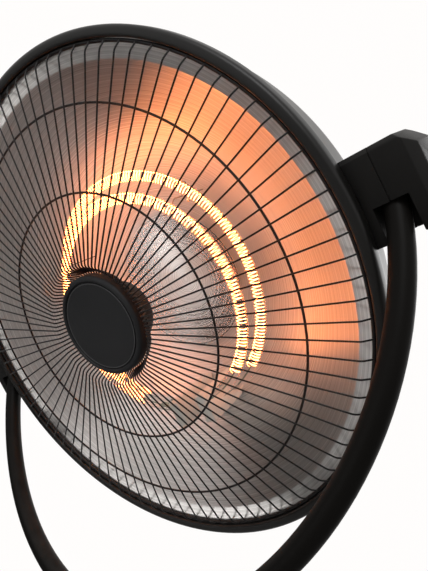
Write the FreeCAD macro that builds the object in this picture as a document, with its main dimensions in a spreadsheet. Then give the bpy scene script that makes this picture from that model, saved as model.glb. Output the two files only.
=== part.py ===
import FreeCAD, Part
import os
import re
from math import cos, pi, radians, sin

import Sketcher

V = FreeCAD.Vector

# Lengths in millimetres, angles in degrees, and counts.
SIZES = {
    # Wire guard
    "guard_radius": 250,
    "guard_wire": 1.6,
    "guard_wire_count": 93,
    "outer_ring_wire": 3.6,
    "thin_ring_wire": 2.2,
    "middle_ring_radius": 201.7,
    "inner_ring_radius": 126.5,
    "wire_foot_radius": 44,
    "wire_heel_radius": 52,
    "wire_foot_height": 27,
    "wire_crown_radius": 60,
    "wire_crown_height": 43,
    "wire_knee_inset": 7,
    "wire_knee_height": 9.2,
    "weld_gap": 0.02,
    # Hub of the guard
    "hub_radius": 51,
    "hub_height": 41,
    "hub_edge_round": 4,
    "hub_groove_radius": 44.3,
    "hub_groove_width": 2.2,
    "hub_groove_depth": 2,
    "hub_face_drop": 1,
    "hub_grip_gap": 0.2,
    "hub_cup_radius": 47,
    "hub_cup_floor_radius": 37,
    "hub_cup_depth": 21,
    "hub_cup_wall": 2,
    # Reflector
    "lip_width": 13.7,
    "lip_flat_inset": 2,
    "reflector_edge_depth": 6,
    "reflector_depth": 99,
    "reflector_sheet": 1,
    "lip_depth": 2.1,
    # Rim band
    "rim_width": 10,
    "rim_front": 5,
    "rim_back": 10,
    "rim_edge_cut": 3.2,
    "rim_gap": 0.3,
    "rim_groove_depth": 3,
    "sheet_gap": 0.1,
    # Back shell
    "shell_step": 1,
    "shell_taper": 1,
    "shell_corner_width": 20,
    "shell_corner_height": 22,
    "shell_floor_rise": 33,
    "shell_floor_radius": 76,
    "shell_back_gap": 12,
    "shell_sheet": 1.2,
    "shell_window_radius": 48,
    # Lamps
    "rear_lamp_radius": 130.4,
    "rear_lamp_depth": 42.6,
    "front_lamp_radius": 117,
    "front_lamp_depth": 24.8,
    "front_lamp_drop": 6.5,
    "lamp_tube": 12,
    "lamp_tube_wall": 1.8,
    "coil_across": 7,
    "coil_end_angle": 37,
    "lead_wire": 1.2,
    "lamp_end_gap": 1.9,
    "lead_end_gap": 0.35,
    "post_inner_x": 13,
    "post_outer_x": 27,
    "post_near_radius": 111,
    "post_far_radius": 142,
    "post_top_depth": 14,
    "seat_gap": 0.3,
    "clip_angle": 38.5,
    "clip_width": 4,
    "clip_strip": 1.4,
    "clip_arm": 10,
    "wiring_across": 5,
    "wiring_x": 20,
    "wiring_start_y": 127,
    "wiring_dish_gap": 3.5,
    "wiring_end_y": 30,
    "wiring_end_rise": 1,
    # Tilt and pivot
    "head_tilt": 37,
    "tilt_stop": 41,
    "pivot_height": 1680,
    "pivot_depth": 28,
    "pivot_bolt_radius": 4,
    "pivot_bolt_head_radius": 7,
    "pivot_bolt_grip": 8,
    "pivot_bolt_head_height": 5,
    "pivot_clearance": 0.06,
    # Pivot brackets
    "bracket_sink": 8,
    "bracket_outer_width": 31,
    "bracket_top": 31,
    "bracket_bottom": 38,
    "bracket_front_depth": 6,
    "bracket_back_depth": 52,
    "bracket_edge_cut": 7,
    "bracket_corner_cut": 12,
    "slot_width": 26.4,
    "slot_gap": 0.5,
    "knuckle_gap": 0.3,
    # Rear housing
    "housing_half_width": 66,
    "housing_top": 46,
    "housing_bottom": 58,
    "housing_corner": 16,
    "housing_height": 46,
    "housing_wall": 2.5,
    "selector_y": 10,
    "selector_body": 28,
    "selector_body_height": 18,
    "selector_shaft_radius": 3,
    "selector_shaft_reach": 11,
    "selector_knob_across": 36,
    "selector_knob_height": 15,
    "selector_knob_ridge": 5,
    "selector_gap": 0.4,
    "gland_sleeve": 18,
    "gland_nut": 22,
    "gland_nut_height": 9,
    "gland_bore": 7.2,
    "gland_depth": 140,
    "block_half_width": 34,
    "block_height": 16,
    "block_top": 20,
    "block_bottom": 40,
    "cutout_across": 16,
    "cutout_height": 6,
    "cutout_x": 42,
    "tip_switch_width": 18,
    "tip_switch_length": 26,
    # Yoke
    "yoke_clearance": 10.4,
    "yoke_leg": 8,
    "yoke_tube_radius": 9.5,
    "knuckle_radius": 12,
    "clamp_half_length": 46,
    "clamp_half_width": 21,
    "clamp_cap_wall": 5,
    "clamp_base_wall": 14,
    "clamp_neck_radius": 20,
    "clamp_neck_length": 46,
    "clamp_joint_gap": 0.6,
    "clamp_fit": 0.05,
    "clamp_roof_gap": 0.4,
    # Poles, collar and clamp knob
    "upper_pole_radius": 14,
    "upper_pole_bottom": 620,
    "lower_pole_radius": 19,
    "lower_pole_top": 880,
    "pole_wall": 1.5,
    "pole_fit": 0.05,
    "slide_clearance": 0.1,
    "guide_length": 40,
    "collar_radius": 27,
    "collar_below": 34,
    "collar_above": 42,
    "collar_boss_radius": 11,
    "collar_boss_reach": 40,
    "stud_radius": 4,
    "stud_tip_gap": 0.3,
    "knob_radius": 22,
    "knob_lobe_depth": 4,
    "knob_width": 18,
    "knob_gap": 1,
    # Base
    "base_radius": 250,
    "foot_height": 6,
    "foot_across": 28,
    "foot_circle": 218,
    "plate_thickness": 8,
    "cover_sheet": 1.5,
    "cover_skirt_bottom": 7,
    "cover_skirt_top": 16,
    "cover_top": 31,
    "cover_flat_radius": 70,
    "cover_gap": 0.8,
    "socket_flange_radius": 48,
    "socket_flange_height": 22,
    "socket_floor": 8,
    "socket_neck_radius": 26,
    "socket_height": 92,
}
# Sizes that follow from the others, so that neighbours keep together.
FOLLOWING = {
    "wire_knee_radius": "=guard_radius - wire_knee_inset",
    "reflector_radius": "=guard_radius - lip_width",
    "lip_flat_radius": "=guard_radius - lip_flat_inset",
    "rim_inner_radius": "=guard_radius + outer_ring_wire / 2 + rim_gap",
    "rim_outer_radius": "=rim_inner_radius + rim_width",
    "shell_radius": "=guard_radius + shell_step",
    "shell_back_radius": "=shell_radius - shell_taper",
    "shell_corner_radius": "=shell_back_radius - shell_corner_width",
    "dish_floor": "=reflector_edge_depth + reflector_depth",
    "dish_round": "=(reflector_radius ^ 2 + reflector_depth ^ 2) / 2 / reflector_depth",
    "shell_depth": "=dish_floor + shell_back_gap",
    "shell_corner_depth": "=shell_depth - shell_floor_rise",
    "shell_side_depth": "=shell_corner_depth - shell_corner_height",
    "dish_above_wiring": "=dish_round - sqrt(dish_round ^ 2 - wiring_start_y ^ 2 - wiring_x ^ 2)",
    "wiring_clearance": "=reflector_sheet + wiring_across / 2 + wiring_dish_gap",
    "wiring_start_depth": "=dish_floor - dish_above_wiring + wiring_clearance",
    "wiring_end_depth": "=shell_depth - wiring_end_rise",
    "yoke_radius": "=rim_outer_radius + yoke_clearance + yoke_tube_radius",
    "bracket_root_x": "=shell_radius - bracket_sink",
    "bracket_outer_x": "=yoke_radius + bracket_outer_width",
}
WIRE_SIDES = 4
TUBE_SIDES = 6
YOKE_SIDES = 8
TURN_SIDES = 36
ROUND_SIDES = 16
SMALL_SIDES = 12
DISH_BANDS = 6
KNOB_LOBES = 6
FOOT_COUNT = 5

doc = FreeCAD.newDocument("infrared_heater")
sheet = doc.addObject("Spreadsheet::Sheet", "Sizes")
known = SIZES | FOLLOWING
for row, (alias, value) in enumerate(known.items(), start=1):
    sheet.set(f"A{row}", alias)
    sheet.set(f"B{row}", str(value))
    sheet.setAlias(f"B{row}", alias)
doc.recompute()

nodes = []


def ex(words):
    """Expression in which every size is read from the sheet."""
    return re.sub(r"[a-z_]\w*", lambda w: "Sizes." + w[0] if w[0] in known else w[0], str(words))


def num(words):
    """Value of an expression, as a plain number."""
    value = sheet.evalExpression(ex(words))
    return float(getattr(value, "Value", value))


def keep(thing):
    """Mark a document object as a sub-part under its own name."""
    thing.Label = thing.Name
    nodes.append(thing)
    return thing


# The head tilts about the pivot line; its own Z axis is the axis of the dish.
HEAD_Y = "-pivot_depth * cos(head_tilt * 1 deg)"
HEAD_Z = "pivot_height - pivot_depth * sin(head_tilt * 1 deg)"
HEAD_TURN = "rotation(vector(1; 0; 0); 90 + head_tilt)"


def on_head(thing, drop="0", spin="0"):
    """Tilted place of a piece drawn about the dish axis, lowered across the dish and spun about its axis."""
    y = f"{HEAD_Y} + ({drop}) * sin(head_tilt * 1 deg)"
    z = f"{HEAD_Z} - ({drop}) * cos(head_tilt * 1 deg)"
    turn = f"{HEAD_TURN} * rotation(vector(0; 0; 1); {spin})"
    thing.setExpression("Placement", ex(f"placement(vector(0; {y}; {z}); {turn})"))
    return thing


# Sketches whose every corner and circle is bound to the sheet
def new_body(name):
    return doc.addObject("PartDesign::Body", name)


def sketch(body, plane, lift="0"):
    """Empty sketch on one of the body's own planes, lifted along that plane's normal."""
    role = next(f for f in body.Origin.OriginFeatures if f.Role == plane + "_Plane")
    made = body.newObject("Sketcher::SketchObject", body.Name + "_sketch")
    made.AttachmentSupport = [(role, "")]
    made.MapMode = "FlatFace"
    made.setExpression("AttachmentOffset.Base.z", ex(lift))
    return made


def bind(made, constraint, words):
    """Add a constraint whose value follows an expression."""
    index = made.addConstraint(constraint)
    made.setExpression(f"Constraints[{index}]", ex(words))


def outline(made, points):
    """Closed outline of straight sides through the points."""
    corners = [V(num(x), num(y), 0) for x, y in points]
    first = made.GeometryCount
    for start, end in zip(corners, corners[1:] + corners[:1]):
        made.addGeometry(Part.LineSegment(start, end), False)
    for i, (x, y) in enumerate(points):
        after = first + (i + 1) % len(points)
        made.addConstraint(Sketcher.Constraint("Coincident", first + i, 2, after, 1))
        bind(made, Sketcher.Constraint("DistanceX", -1, 1, first + i, 1, corners[i].x), x)
        bind(made, Sketcher.Constraint("DistanceY", -1, 1, first + i, 1, corners[i].y), y)
    return made


def circle(made, x, y, radius):
    """Circle held by its radius and its centre's distances from the origin."""
    index = made.addGeometry(Part.Circle(V(num(x), num(y), 0), V(0, 0, 1), num(radius)), False)
    bind(made, Sketcher.Constraint("Radius", index, num(radius)), radius)
    bind(made, Sketcher.Constraint("DistanceX", -1, 1, index, 3, num(x)), x)
    bind(made, Sketcher.Constraint("DistanceY", -1, 1, index, 3, num(y)), y)
    return made


def rectangle(x0, y0, x1, y1):
    return [(x0, y0), (x1, y0), (x1, y1), (x0, y1)]


def regular(x, y, across, sides):
    """Corners of a regular section; across is measured between flats, one of which faces along x."""
    reach = 0.5 / cos(pi / sides)
    points = []
    for k in range(sides):
        turn = pi * (2 * k + 1) / sides
        points.append((
            f"{x} + {reach * cos(turn):.5f} * ({across})",
            f"{y} + {reach * sin(turn):.5f} * ({across})",
        ))
    return points


# Features
def pad(body, made, length):
    """Extrude along the sketch's normal."""
    feature = body.newObject("PartDesign::Pad", body.Name + "_pad")
    feature.Profile = made
    feature.setExpression("Length", ex(length))
    return body


def pocket(body, made, depth, reverse=False):
    """Cut against the sketch's normal, and make sure that it cuts."""
    doc.recompute()
    before = body.Shape.Volume
    feature = body.newObject("PartDesign::Pocket", body.Name + "_cut")
    feature.Profile = made
    feature.Reversed = reverse
    feature.setExpression("Length", ex(depth))
    doc.recompute()
    assert body.Shape.Volume < before, body.Name + ": this pocket cuts nothing"
    return body


def tube_of(name, outer, inner, bottom, length):
    """Plain round tube along Z."""
    body = new_body(name)
    made = circle(sketch(body, "XY", bottom), "0", "0", outer)
    return pad(body, circle(made, "0", "0", inner), length)


def profile_loops(made):
    """Corners of each closed outline in a sketch of straight sides."""
    loops = [[]]
    for side in made.Geometry:
        loops[-1].append(side.StartPoint)
        if (side.EndPoint - loops[-1][0]).Length < 1e-6:
            loops.append([])
    return loops[:-1]


def solid_of(faces):
    """Closed solid of flat faces, turned right side out."""
    made = Part.Solid(Part.Shell(faces))
    if made.Volume < 0:
        made.reverse()
    return made


def polygon(corners):
    return Part.makePolygon(corners + corners[:1])


def faceted_turn(loops, sides, sweep):
    """Carry profile loops round the Z axis in equal straight steps; a second loop is a bore."""
    whole = sweep > 359.9
    steps = round(sides * sweep / 360)
    turns = [radians(sweep) * k / steps for k in range(steps + 1)]
    faces = []
    ends = []
    for loop in loops:
        rows = [[V(p.x * cos(turn), p.x * sin(turn), p.y) for p in loop] for turn in turns]
        if whole:
            rows[-1] = rows[0]
        ends.append((rows[0], rows[-1]))
        for here, there in zip(rows, rows[1:]):
            for i in range(len(loop)):
                corners = [here[i - 1], here[i], there[i], there[i - 1]]
                apart = [c for k, c in enumerate(corners) if (c - corners[k - 1]).Length > 1e-6]
                if len(apart) > 2:
                    faces.append(Part.Face(polygon(apart)))
    if not whole:
        for end in (0, 1):
            faces.append(Part.makeFace([polygon(pair[end]) for pair in ends], "Part::FaceMakerBullseye"))
    return solid_of(faces)


class FacetedTurn:
    """Keeps a turned solid in step with its profile sketch."""

    def __init__(self, thing, profile, sides, sweep):
        thing.addProperty("App::PropertyLink", "Profile")
        thing.addProperty("App::PropertyInteger", "Sides")
        thing.addProperty("App::PropertyFloat", "Sweep")
        thing.Profile = profile
        thing.Sides = sides
        thing.setExpression("Sweep", ex(sweep))
        thing.Proxy = self

    def execute(self, thing):
        place = thing.Placement
        thing.Shape = faceted_turn(profile_loops(thing.Profile), thing.Sides, thing.Sweep)
        thing.Placement = place


def turned(name, *loops, sweep="360", sides=TURN_SIDES):
    """Piece whose profile, radius against height, goes round the Z axis."""
    profile = doc.addObject("Sketcher::SketchObject", name + "_profile")
    for points in loops:
        outline(profile, points)
    thing = doc.addObject("Part::FeaturePython", name)
    FacetedTurn(thing, profile, sides, sweep)
    return thing


def mirrored(source, name):
    """Left-hand twin of a right-hand piece."""
    twin = doc.addObject("Part::Mirroring", name)
    twin.Source = source
    twin.Normal = V(1, 0, 0)
    return twin


def joined(name, things):
    """One node for a set of alike pieces that stay separate solids."""
    group = doc.addObject("Part::Compound", name)
    group.Links = things
    return group


def combined(kind, name, base, tool):
    made = doc.addObject(kind, name)
    made.Base = base
    made.Tool = tool
    return made


# Wire guard
WIRE_PATH = [
    ("wire_foot_radius", "wire_foot_height"),
    ("wire_heel_radius", "wire_foot_height"),
    ("wire_crown_radius", "wire_crown_height"),
    ("wire_knee_radius", "wire_knee_height"),
    ("guard_radius", "(outer_ring_wire + guard_wire) / 2 + weld_gap"),
]
WIRE_FALL = "(wire_crown_height - wire_knee_height) / (wire_knee_radius - wire_crown_radius)"


def bent_wire(path, across, sides):
    """Straight runs of wire in the XZ plane, mitred where they meet."""
    runs = [(b - a).normalize() for a, b in zip(path, path[1:])]
    normals = [V(-run.z, 0, run.x) for run in runs]
    reach = across / 2 / cos(pi / sides)
    turns = [pi * (2 * k + 1) / sides for k in range(sides)]
    sections = []
    for i, point in enumerate(path):
        before = normals[max(i - 1, 0)]
        after = normals[min(i, len(normals) - 1)]
        mitre = (before + after) / (1 + before.dot(after))
        sections.append([point + mitre * (reach * cos(turn)) + V(0, reach * sin(turn), 0) for turn in turns])
    faces = [Part.Face(polygon(sections[0])), Part.Face(polygon(sections[-1]))]
    for here, there in zip(sections, sections[1:]):
        for k in range(sides):
            faces.append(Part.Face(polygon([here[k - 1], here[k], there[k], there[k - 1]])))
    return solid_of(faces)


def copies(name, shape, places):
    """One node of equal pieces, one solid at each place."""
    made = doc.addObject("Part::Feature", name)
    made.Shape = Part.makeCompound([shape.transformed(place.toMatrix()) for place in places])
    return made


def spun(angle):
    return FreeCAD.Placement(V(), FreeCAD.Rotation(V(0, 0, 1), angle))


def guard_ring_height(radius):
    """A thin ring lies behind the radial wires and touches them."""
    run = f"wire_crown_height - ({radius} - wire_crown_radius) * {WIRE_FALL}"
    below = f"(guard_wire + thin_ring_wire) / 2 * (sqrt(1 + ({WIRE_FALL}) ^ 2) + {WIRE_FALL})"
    return f"{run} - {below} - weld_gap"


wire = bent_wire([V(num(r), 0, num(z)) for r, z in WIRE_PATH], num("guard_wire"), WIRE_SIDES)
wire_count = int(num("guard_wire_count"))
wire_places = [spun(360 * k / wire_count) for k in range(wire_count)]
keep(on_head(copies("guard_wires", wire, wire_places)))
keep(on_head(turned("guard_outer_ring", regular("guard_radius", "0", "outer_ring_wire", WIRE_SIDES))))
for ring in ("middle", "inner"):
    radius = f"{ring}_ring_radius"
    section = regular(radius, guard_ring_height(radius), "thin_ring_wire", WIRE_SIDES)
    keep(on_head(turned(f"guard_{ring}_ring", section)))

# Hub: a cap in front and a cup behind grip the feet of the wires
CAP_BACK = "(wire_foot_height + guard_wire / 2 + hub_grip_gap)"
CUP_FRONT = "(wire_foot_height - guard_wire / 2 - hub_grip_gap)"
CUP_BACK = f"({CUP_FRONT} - hub_cup_depth)"
GROOVE_IN = "(hub_groove_radius - hub_groove_width / 2)"
GROOVE_OUT = "(hub_groove_radius + hub_groove_width / 2)"
ROUND_STEP = "hub_edge_round * (1 - sqrt(0.5))"

keep(on_head(turned("hub_cap", [
    ("0", CAP_BACK),
    ("hub_radius", CAP_BACK),
    ("hub_radius", "hub_height - hub_edge_round"),
    (f"hub_radius - {ROUND_STEP}", f"hub_height - {ROUND_STEP}"),
    ("hub_radius - hub_edge_round", "hub_height"),
    (GROOVE_OUT, "hub_height"),
    (GROOVE_OUT, "hub_height - hub_groove_depth"),
    (GROOVE_IN, "hub_height - hub_groove_depth"),
    (GROOVE_IN, "hub_height - hub_face_drop"),
    ("0", "hub_height - hub_face_drop"),
])))
keep(on_head(turned("hub_cup", [
    ("0", CUP_BACK),
    ("hub_cup_floor_radius", CUP_BACK),
    ("hub_cup_radius", CUP_FRONT),
    ("hub_cup_radius - hub_cup_wall", CUP_FRONT),
    ("hub_cup_floor_radius - hub_cup_wall", f"{CUP_BACK} + hub_cup_wall"),
    ("0", f"{CUP_BACK} + hub_cup_wall"),
])))

# Reflector: a shallow dish of spherical form with a bright lip
RIM_IN = "rim_inner_radius"
RIM_OUT = "rim_outer_radius"
FLANGE_OUT = f"({RIM_IN} + rim_groove_depth - sheet_gap)"
SHELL_FRONT = "(lip_depth + reflector_sheet + sheet_gap)"


def dish_points(lift):
    """Meridian of the dish from its centre to its edge, shifted along the axis."""
    points = []
    for k in range(DISH_BANDS + 1):
        radius = f"({k} / {DISH_BANDS} * reflector_radius)"
        rise = f"dish_round - sqrt(dish_round ^ 2 - {radius} ^ 2)"
        points.append((radius, f"{rise} - dish_floor + {lift}"))
    return points


LIP = [
    ("lip_flat_radius", "-lip_depth - reflector_sheet"),
    (FLANGE_OUT, "-lip_depth - reflector_sheet"),
    (FLANGE_OUT, "-lip_depth"),
    ("lip_flat_radius", "-lip_depth"),
]
keep(on_head(turned("reflector", dish_points("-reflector_sheet") + LIP + dish_points("0")[::-1])))

# Rim band: a rolled bead whose groove holds the lip of the dish and the flange of the shell
GROOVE_BACK = f"({SHELL_FRONT} + shell_sheet + sheet_gap)"
keep(on_head(turned("rim_band", [
    (f"{RIM_IN} + rim_groove_depth", "-lip_depth + sheet_gap"),
    (RIM_IN, "-lip_depth + sheet_gap"),
    (RIM_IN, "rim_front - rim_edge_cut"),
    (f"{RIM_IN} + rim_edge_cut", "rim_front"),
    (f"{RIM_OUT} - rim_edge_cut", "rim_front"),
    (RIM_OUT, "rim_front - rim_edge_cut"),
    (RIM_OUT, "-rim_back + rim_edge_cut"),
    (f"{RIM_OUT} - rim_edge_cut", "-rim_back"),
    (RIM_IN, "-rim_back"),
    (RIM_IN, f"-{GROOVE_BACK}"),
    (f"{RIM_IN} + rim_groove_depth", f"-{GROOVE_BACK}"),
])))

# Back shell: a drum with a flange in front and a window for the wiring in its floor
keep(on_head(turned("back_shell", [
    (FLANGE_OUT, f"-{SHELL_FRONT}"),
    ("shell_radius - shell_sheet", f"-{SHELL_FRONT}"),
    ("shell_back_radius - shell_sheet", "-shell_side_depth"),
    ("shell_corner_radius - shell_sheet / 2", "-shell_corner_depth + shell_sheet"),
    ("shell_floor_radius", "-shell_depth + shell_sheet"),
    ("shell_window_radius", "-shell_depth + shell_sheet"),
    ("shell_window_radius", "-shell_depth"),
    ("shell_floor_radius", "-shell_depth"),
    ("shell_corner_radius", "-shell_corner_depth"),
    ("shell_back_radius", "-shell_side_depth"),
    ("shell_radius", f"-{SHELL_FRONT} - shell_sheet"),
    (FLANGE_OUT, f"-{SHELL_FRONT} - shell_sheet"),
])))

# Lamps: C-shaped quartz tubes that end at the posts, each with a coil and two lead wires
LAMPS = {"rear": "0", "front": "front_lamp_drop"}
BORE = "lamp_tube - 2 * lamp_tube_wall"


def lamp_arc(name, lamp, sections, start, end):
    """Bar bent about the lamp's centre; its angles are counted from the bottom of the dish."""
    radius = f"{lamp}_lamp_radius"
    height = f"-{lamp}_lamp_depth"
    loops = [regular(radius, height, across, sides) for across, sides in sections]
    bar = turned(name, *loops, sweep=f"{end} - ({start})")
    return on_head(bar, drop=LAMPS[lamp], spin=f"{start} - 90")


def end_angle(lamp, gap):
    """Angle from the bottom of the dish at which a bar ends short of its post."""
    return f"asin((post_outer_x + {gap}) / {lamp}_lamp_radius) / 1 deg"


for lamp in LAMPS:
    tube_end = end_angle(lamp, "lamp_end_gap")
    lead_end = end_angle(lamp, "lead_end_gap")
    tube_section = [("lamp_tube", TUBE_SIDES), (BORE, TUBE_SIDES)]
    coil_section = [("coil_across", TUBE_SIDES)]
    lead_section = [("lead_wire", WIRE_SIDES)]
    keep(lamp_arc(f"{lamp}_lamp_tube", lamp, tube_section, tube_end, f"360 - {tube_end}"))
    keep(lamp_arc(f"{lamp}_lamp_coil", lamp, coil_section, "coil_end_angle", "360 - coil_end_angle"))
    keep(joined(f"{lamp}_lamp_leads", [
        lamp_arc(f"{lamp}_lead_right", lamp, lead_section, lead_end, "coil_end_angle"),
        lamp_arc(f"{lamp}_lead_left", lamp, lead_section, "360 - coil_end_angle", f"360 - {lead_end}"),
    ]))


# Posts and clips that carry the lamps stand on the dish
def within_dish(name, body):
    """Piece trimmed to the hollow of the dish, so that its foot sits on the sheet."""
    mouth = [("reflector_radius", "0"), ("0", "0")]
    hollow = on_head(turned(name + "_space", dish_points("seat_gap") + mouth))
    return combined("Part::Common", name, body, hollow)


posts = new_body("lamp_post_blanks")
made = sketch(posts, "XY", f"-dish_floor")
outline(made, rectangle("post_inner_x", "-post_far_radius", "post_outer_x", "-post_near_radius"))
outline(made, rectangle("-post_outer_x", "-post_far_radius", "-post_inner_x", "-post_near_radius"))
pad(posts, made, f"dish_floor - post_top_depth")
keep(within_dish("lamp_end_posts", on_head(posts)))


def lamp_clip(side, angle):
    """Sheet strip between the two tubes, with a shelf under each."""
    gap_inner = f"(front_lamp_radius - front_lamp_drop * sin({angle} * 1 deg) + lamp_tube / 2)"
    gap_outer = "(rear_lamp_radius - lamp_tube / 2)"
    strip_in = f"(({gap_inner} + {gap_outer} - clip_strip) / 2)"
    strip_out = f"({strip_in} + clip_strip)"
    front_shelf = "(-front_lamp_depth - lamp_tube / sqrt(3) - seat_gap)"
    rear_shelf = "(-rear_lamp_depth - lamp_tube / sqrt(3) - seat_gap)"
    body = new_body(f"clip_blank_{side}")
    made = sketch(body, "XZ", "-clip_width / 2")
    outline(made, [
        (strip_in, f"-dish_floor"),
        (strip_out, f"-dish_floor"),
        (strip_out, f"{rear_shelf} - clip_strip"),
        (f"{strip_out} + clip_arm", f"{rear_shelf} - clip_strip"),
        (f"{strip_out} + clip_arm", rear_shelf),
        (strip_out, rear_shelf),
        (strip_out, "-front_lamp_depth"),
        (strip_in, "-front_lamp_depth"),
        (strip_in, front_shelf),
        (f"{strip_in} - clip_arm", front_shelf),
        (f"{strip_in} - clip_arm", f"{front_shelf} - clip_strip"),
        (strip_in, f"{front_shelf} - clip_strip"),
    ])
    pad(body, made, "clip_width")
    return within_dish(f"lamp_clip_{side}", on_head(body, spin=angle))


keep(joined("lamp_clips", [lamp_clip("right", "clip_angle"), lamp_clip("left", "(180 - clip_angle)")]))

# Wiring: one lead on each side runs behind the dish, through the window and down to the terminal block
HOUSING_BACK = "(shell_depth + housing_height)"
FLOOR_IN = f"(-{HOUSING_BACK} + housing_wall)"
BLOCK_FACE = f"({FLOOR_IN} + block_height)"
wiring_path = [
    V(num("wiring_start_y"), 0, num("-wiring_start_depth")),
    V(num("wiring_end_y"), 0, num("-wiring_end_depth")),
    V(num("wiring_end_y"), 0, num(f"{BLOCK_FACE} + seat_gap")),
]
lead = bent_wire(wiring_path, num("wiring_across"), TUBE_SIDES)
down = FreeCAD.Rotation(V(0, 0, 1), -90)
sides = [FreeCAD.Placement(V(side * num("wiring_x"), 0, 0), down) for side in (1, -1)]
keep(on_head(copies("inner_wiring", lead, sides)))

# Pivot brackets: two moulded halves with a slot in which the end of the yoke swings
SLOT_OUT = "(yoke_radius + slot_width / 2)"
SWING = "(yoke_tube_radius + slot_gap)"
STOP_Y = f"({SWING} * sin(tilt_stop * 1 deg))"
STOP_Z = f"(-pivot_depth + {SWING} * cos(tilt_stop * 1 deg))"
REACH = "(bracket_bottom * 2)"
CUT = "bracket_edge_cut / 2"
BRACKET_SIDE = [
    ("-bracket_bottom", "-bracket_back_depth"),
    (f"bracket_top - {CUT}", "-bracket_back_depth"),
    ("bracket_top", f"-bracket_back_depth + {CUT}"),
    ("bracket_top", f"-bracket_front_depth - {CUT}"),
    (f"bracket_top - {CUT}", "-bracket_front_depth"),
    ("-bracket_bottom", "-bracket_front_depth"),
]


def on_pivot(body, lift, radius):
    """Sketch of a many-sided section round the pivot line."""
    return outline(sketch(body, "YZ", lift), regular("0", "-pivot_depth", f"2 * ({radius})", SMALL_SIDES))


def swing_slot(body, end):
    """Room for the knuckle and for the tube between its two stops."""
    pocket(body, on_pivot(body, end, "knuckle_radius + slot_gap"), "slot_width / 2")
    front = f"{STOP_Z} + {REACH} * sin(tilt_stop * 1 deg)"
    made = outline(sketch(body, "YZ", end), [
        (STOP_Y, STOP_Z),
        (f"{STOP_Y} - {REACH} * cos(tilt_stop * 1 deg)", front),
        (f"-{REACH}", front),
        (f"-{REACH}", f"-pivot_depth - {SWING}"),
        ("0", f"-pivot_depth - {SWING}"),
    ])
    return pocket(body, made, "slot_width / 2")


inner_half = new_body("bracket_inner_blank")
made = outline(sketch(inner_half, "YZ", "bracket_root_x"), BRACKET_SIDE)
pad(inner_half, made, "yoke_radius - bracket_root_x")
swing_slot(inner_half, "yoke_radius")
made = on_pivot(inner_half, "yoke_radius", "pivot_bolt_radius")
pocket(inner_half, made, "slot_width / 2 + pivot_bolt_grip")
WALL_FALL = f"(shell_radius - shell_back_radius) / (shell_side_depth - {SHELL_FRONT} - shell_sheet)"
WALL_AT_RIM = f"(shell_back_radius + (shell_side_depth - rim_back - seat_gap) * {WALL_FALL})"
drum_space = on_head(turned("drum_space", [
    ("0", "-shell_side_depth"),
    ("shell_back_radius + seat_gap", "-shell_side_depth"),
    (f"{WALL_AT_RIM} + seat_gap", "-rim_back - seat_gap"),
    (f"{RIM_OUT} + seat_gap", "-rim_back - seat_gap"),
    (f"{RIM_OUT} + seat_gap", "hub_height"),
    ("0", "hub_height"),
]))
right_inner = keep(combined("Part::Cut", "bracket_inner_right", on_head(inner_half), drum_space))

outer_half = new_body("bracket_outer_right")
pad(outer_half, outline(sketch(outer_half, "YZ", "yoke_radius"), BRACKET_SIDE), "slot_width / 2")
swing_slot(outer_half, SLOT_OUT)
made = outline(sketch(outer_half, "YZ", SLOT_OUT), BRACKET_SIDE)
pad(outer_half, made, f"bracket_outer_x - {SLOT_OUT}")
made = outline(sketch(outer_half, "XY"), [
    ("bracket_outer_x - bracket_corner_cut", "bracket_top"),
    ("bracket_outer_x", "bracket_top - bracket_corner_cut"),
    ("bracket_outer_x", "bracket_top"),
])
pocket(outer_half, made, "bracket_back_depth")
made = outline(sketch(outer_half, "XZ", "-bracket_top"), [
    ("bracket_outer_x - bracket_edge_cut", "-bracket_front_depth"),
    ("bracket_outer_x", "-bracket_front_depth - bracket_edge_cut"),
    ("bracket_outer_x", "-bracket_front_depth"),
])
pocket(outer_half, made, "bracket_top + bracket_bottom", reverse=True)
HEAD_SEAT = "(pivot_bolt_head_height + seat_gap)"
made = on_pivot(outer_half, "bracket_outer_x", "pivot_bolt_radius")
pocket(outer_half, made, "bracket_outer_x - yoke_radius")
made = on_pivot(outer_half, "bracket_outer_x", "pivot_bolt_head_radius + seat_gap")
pocket(outer_half, made, HEAD_SEAT)
right_outer = keep(on_head(outer_half))
keep(mirrored(right_inner, "bracket_inner_left"))
keep(mirrored(right_outer, "bracket_outer_left"))

bolt = new_body("pivot_bolt_right")
BOLT_START = "(yoke_radius - slot_width / 2 - pivot_bolt_grip + seat_gap)"
BOLT_HEAD = f"(bracket_outer_x - {HEAD_SEAT} + weld_gap)"
made = circle(sketch(bolt, "YZ", BOLT_START), "0", "-pivot_depth", "pivot_bolt_radius - weld_gap")
pad(bolt, made, f"{BOLT_HEAD} - {BOLT_START}")
pad(bolt, on_pivot(bolt, BOLT_HEAD, "pivot_bolt_head_radius"), "pivot_bolt_head_height")
keep(joined("pivot_bolts", [on_head(bolt), mirrored(bolt, "pivot_bolt_left")]))


# Rear housing: a moulded cup on the floor of the drum, and what it holds
def housing_outline(wall):
    """Rectangle with cut corners, drawn in from the outside by a wall."""
    left = f"-housing_half_width + {wall}"
    right = f"housing_half_width - {wall}"
    low = f"-housing_bottom + {wall}"
    high = f"housing_top - {wall}"
    chop = "housing_corner"
    return [
        (left, f"{low} + {chop}"), (f"{left} + {chop}", low),
        (f"{right} - {chop}", low), (right, f"{low} + {chop}"),
        (right, f"{high} - {chop}"), (f"{right} - {chop}", high),
        (f"{left} + {chop}", high), (left, f"{high} - {chop}"),
    ]


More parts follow.
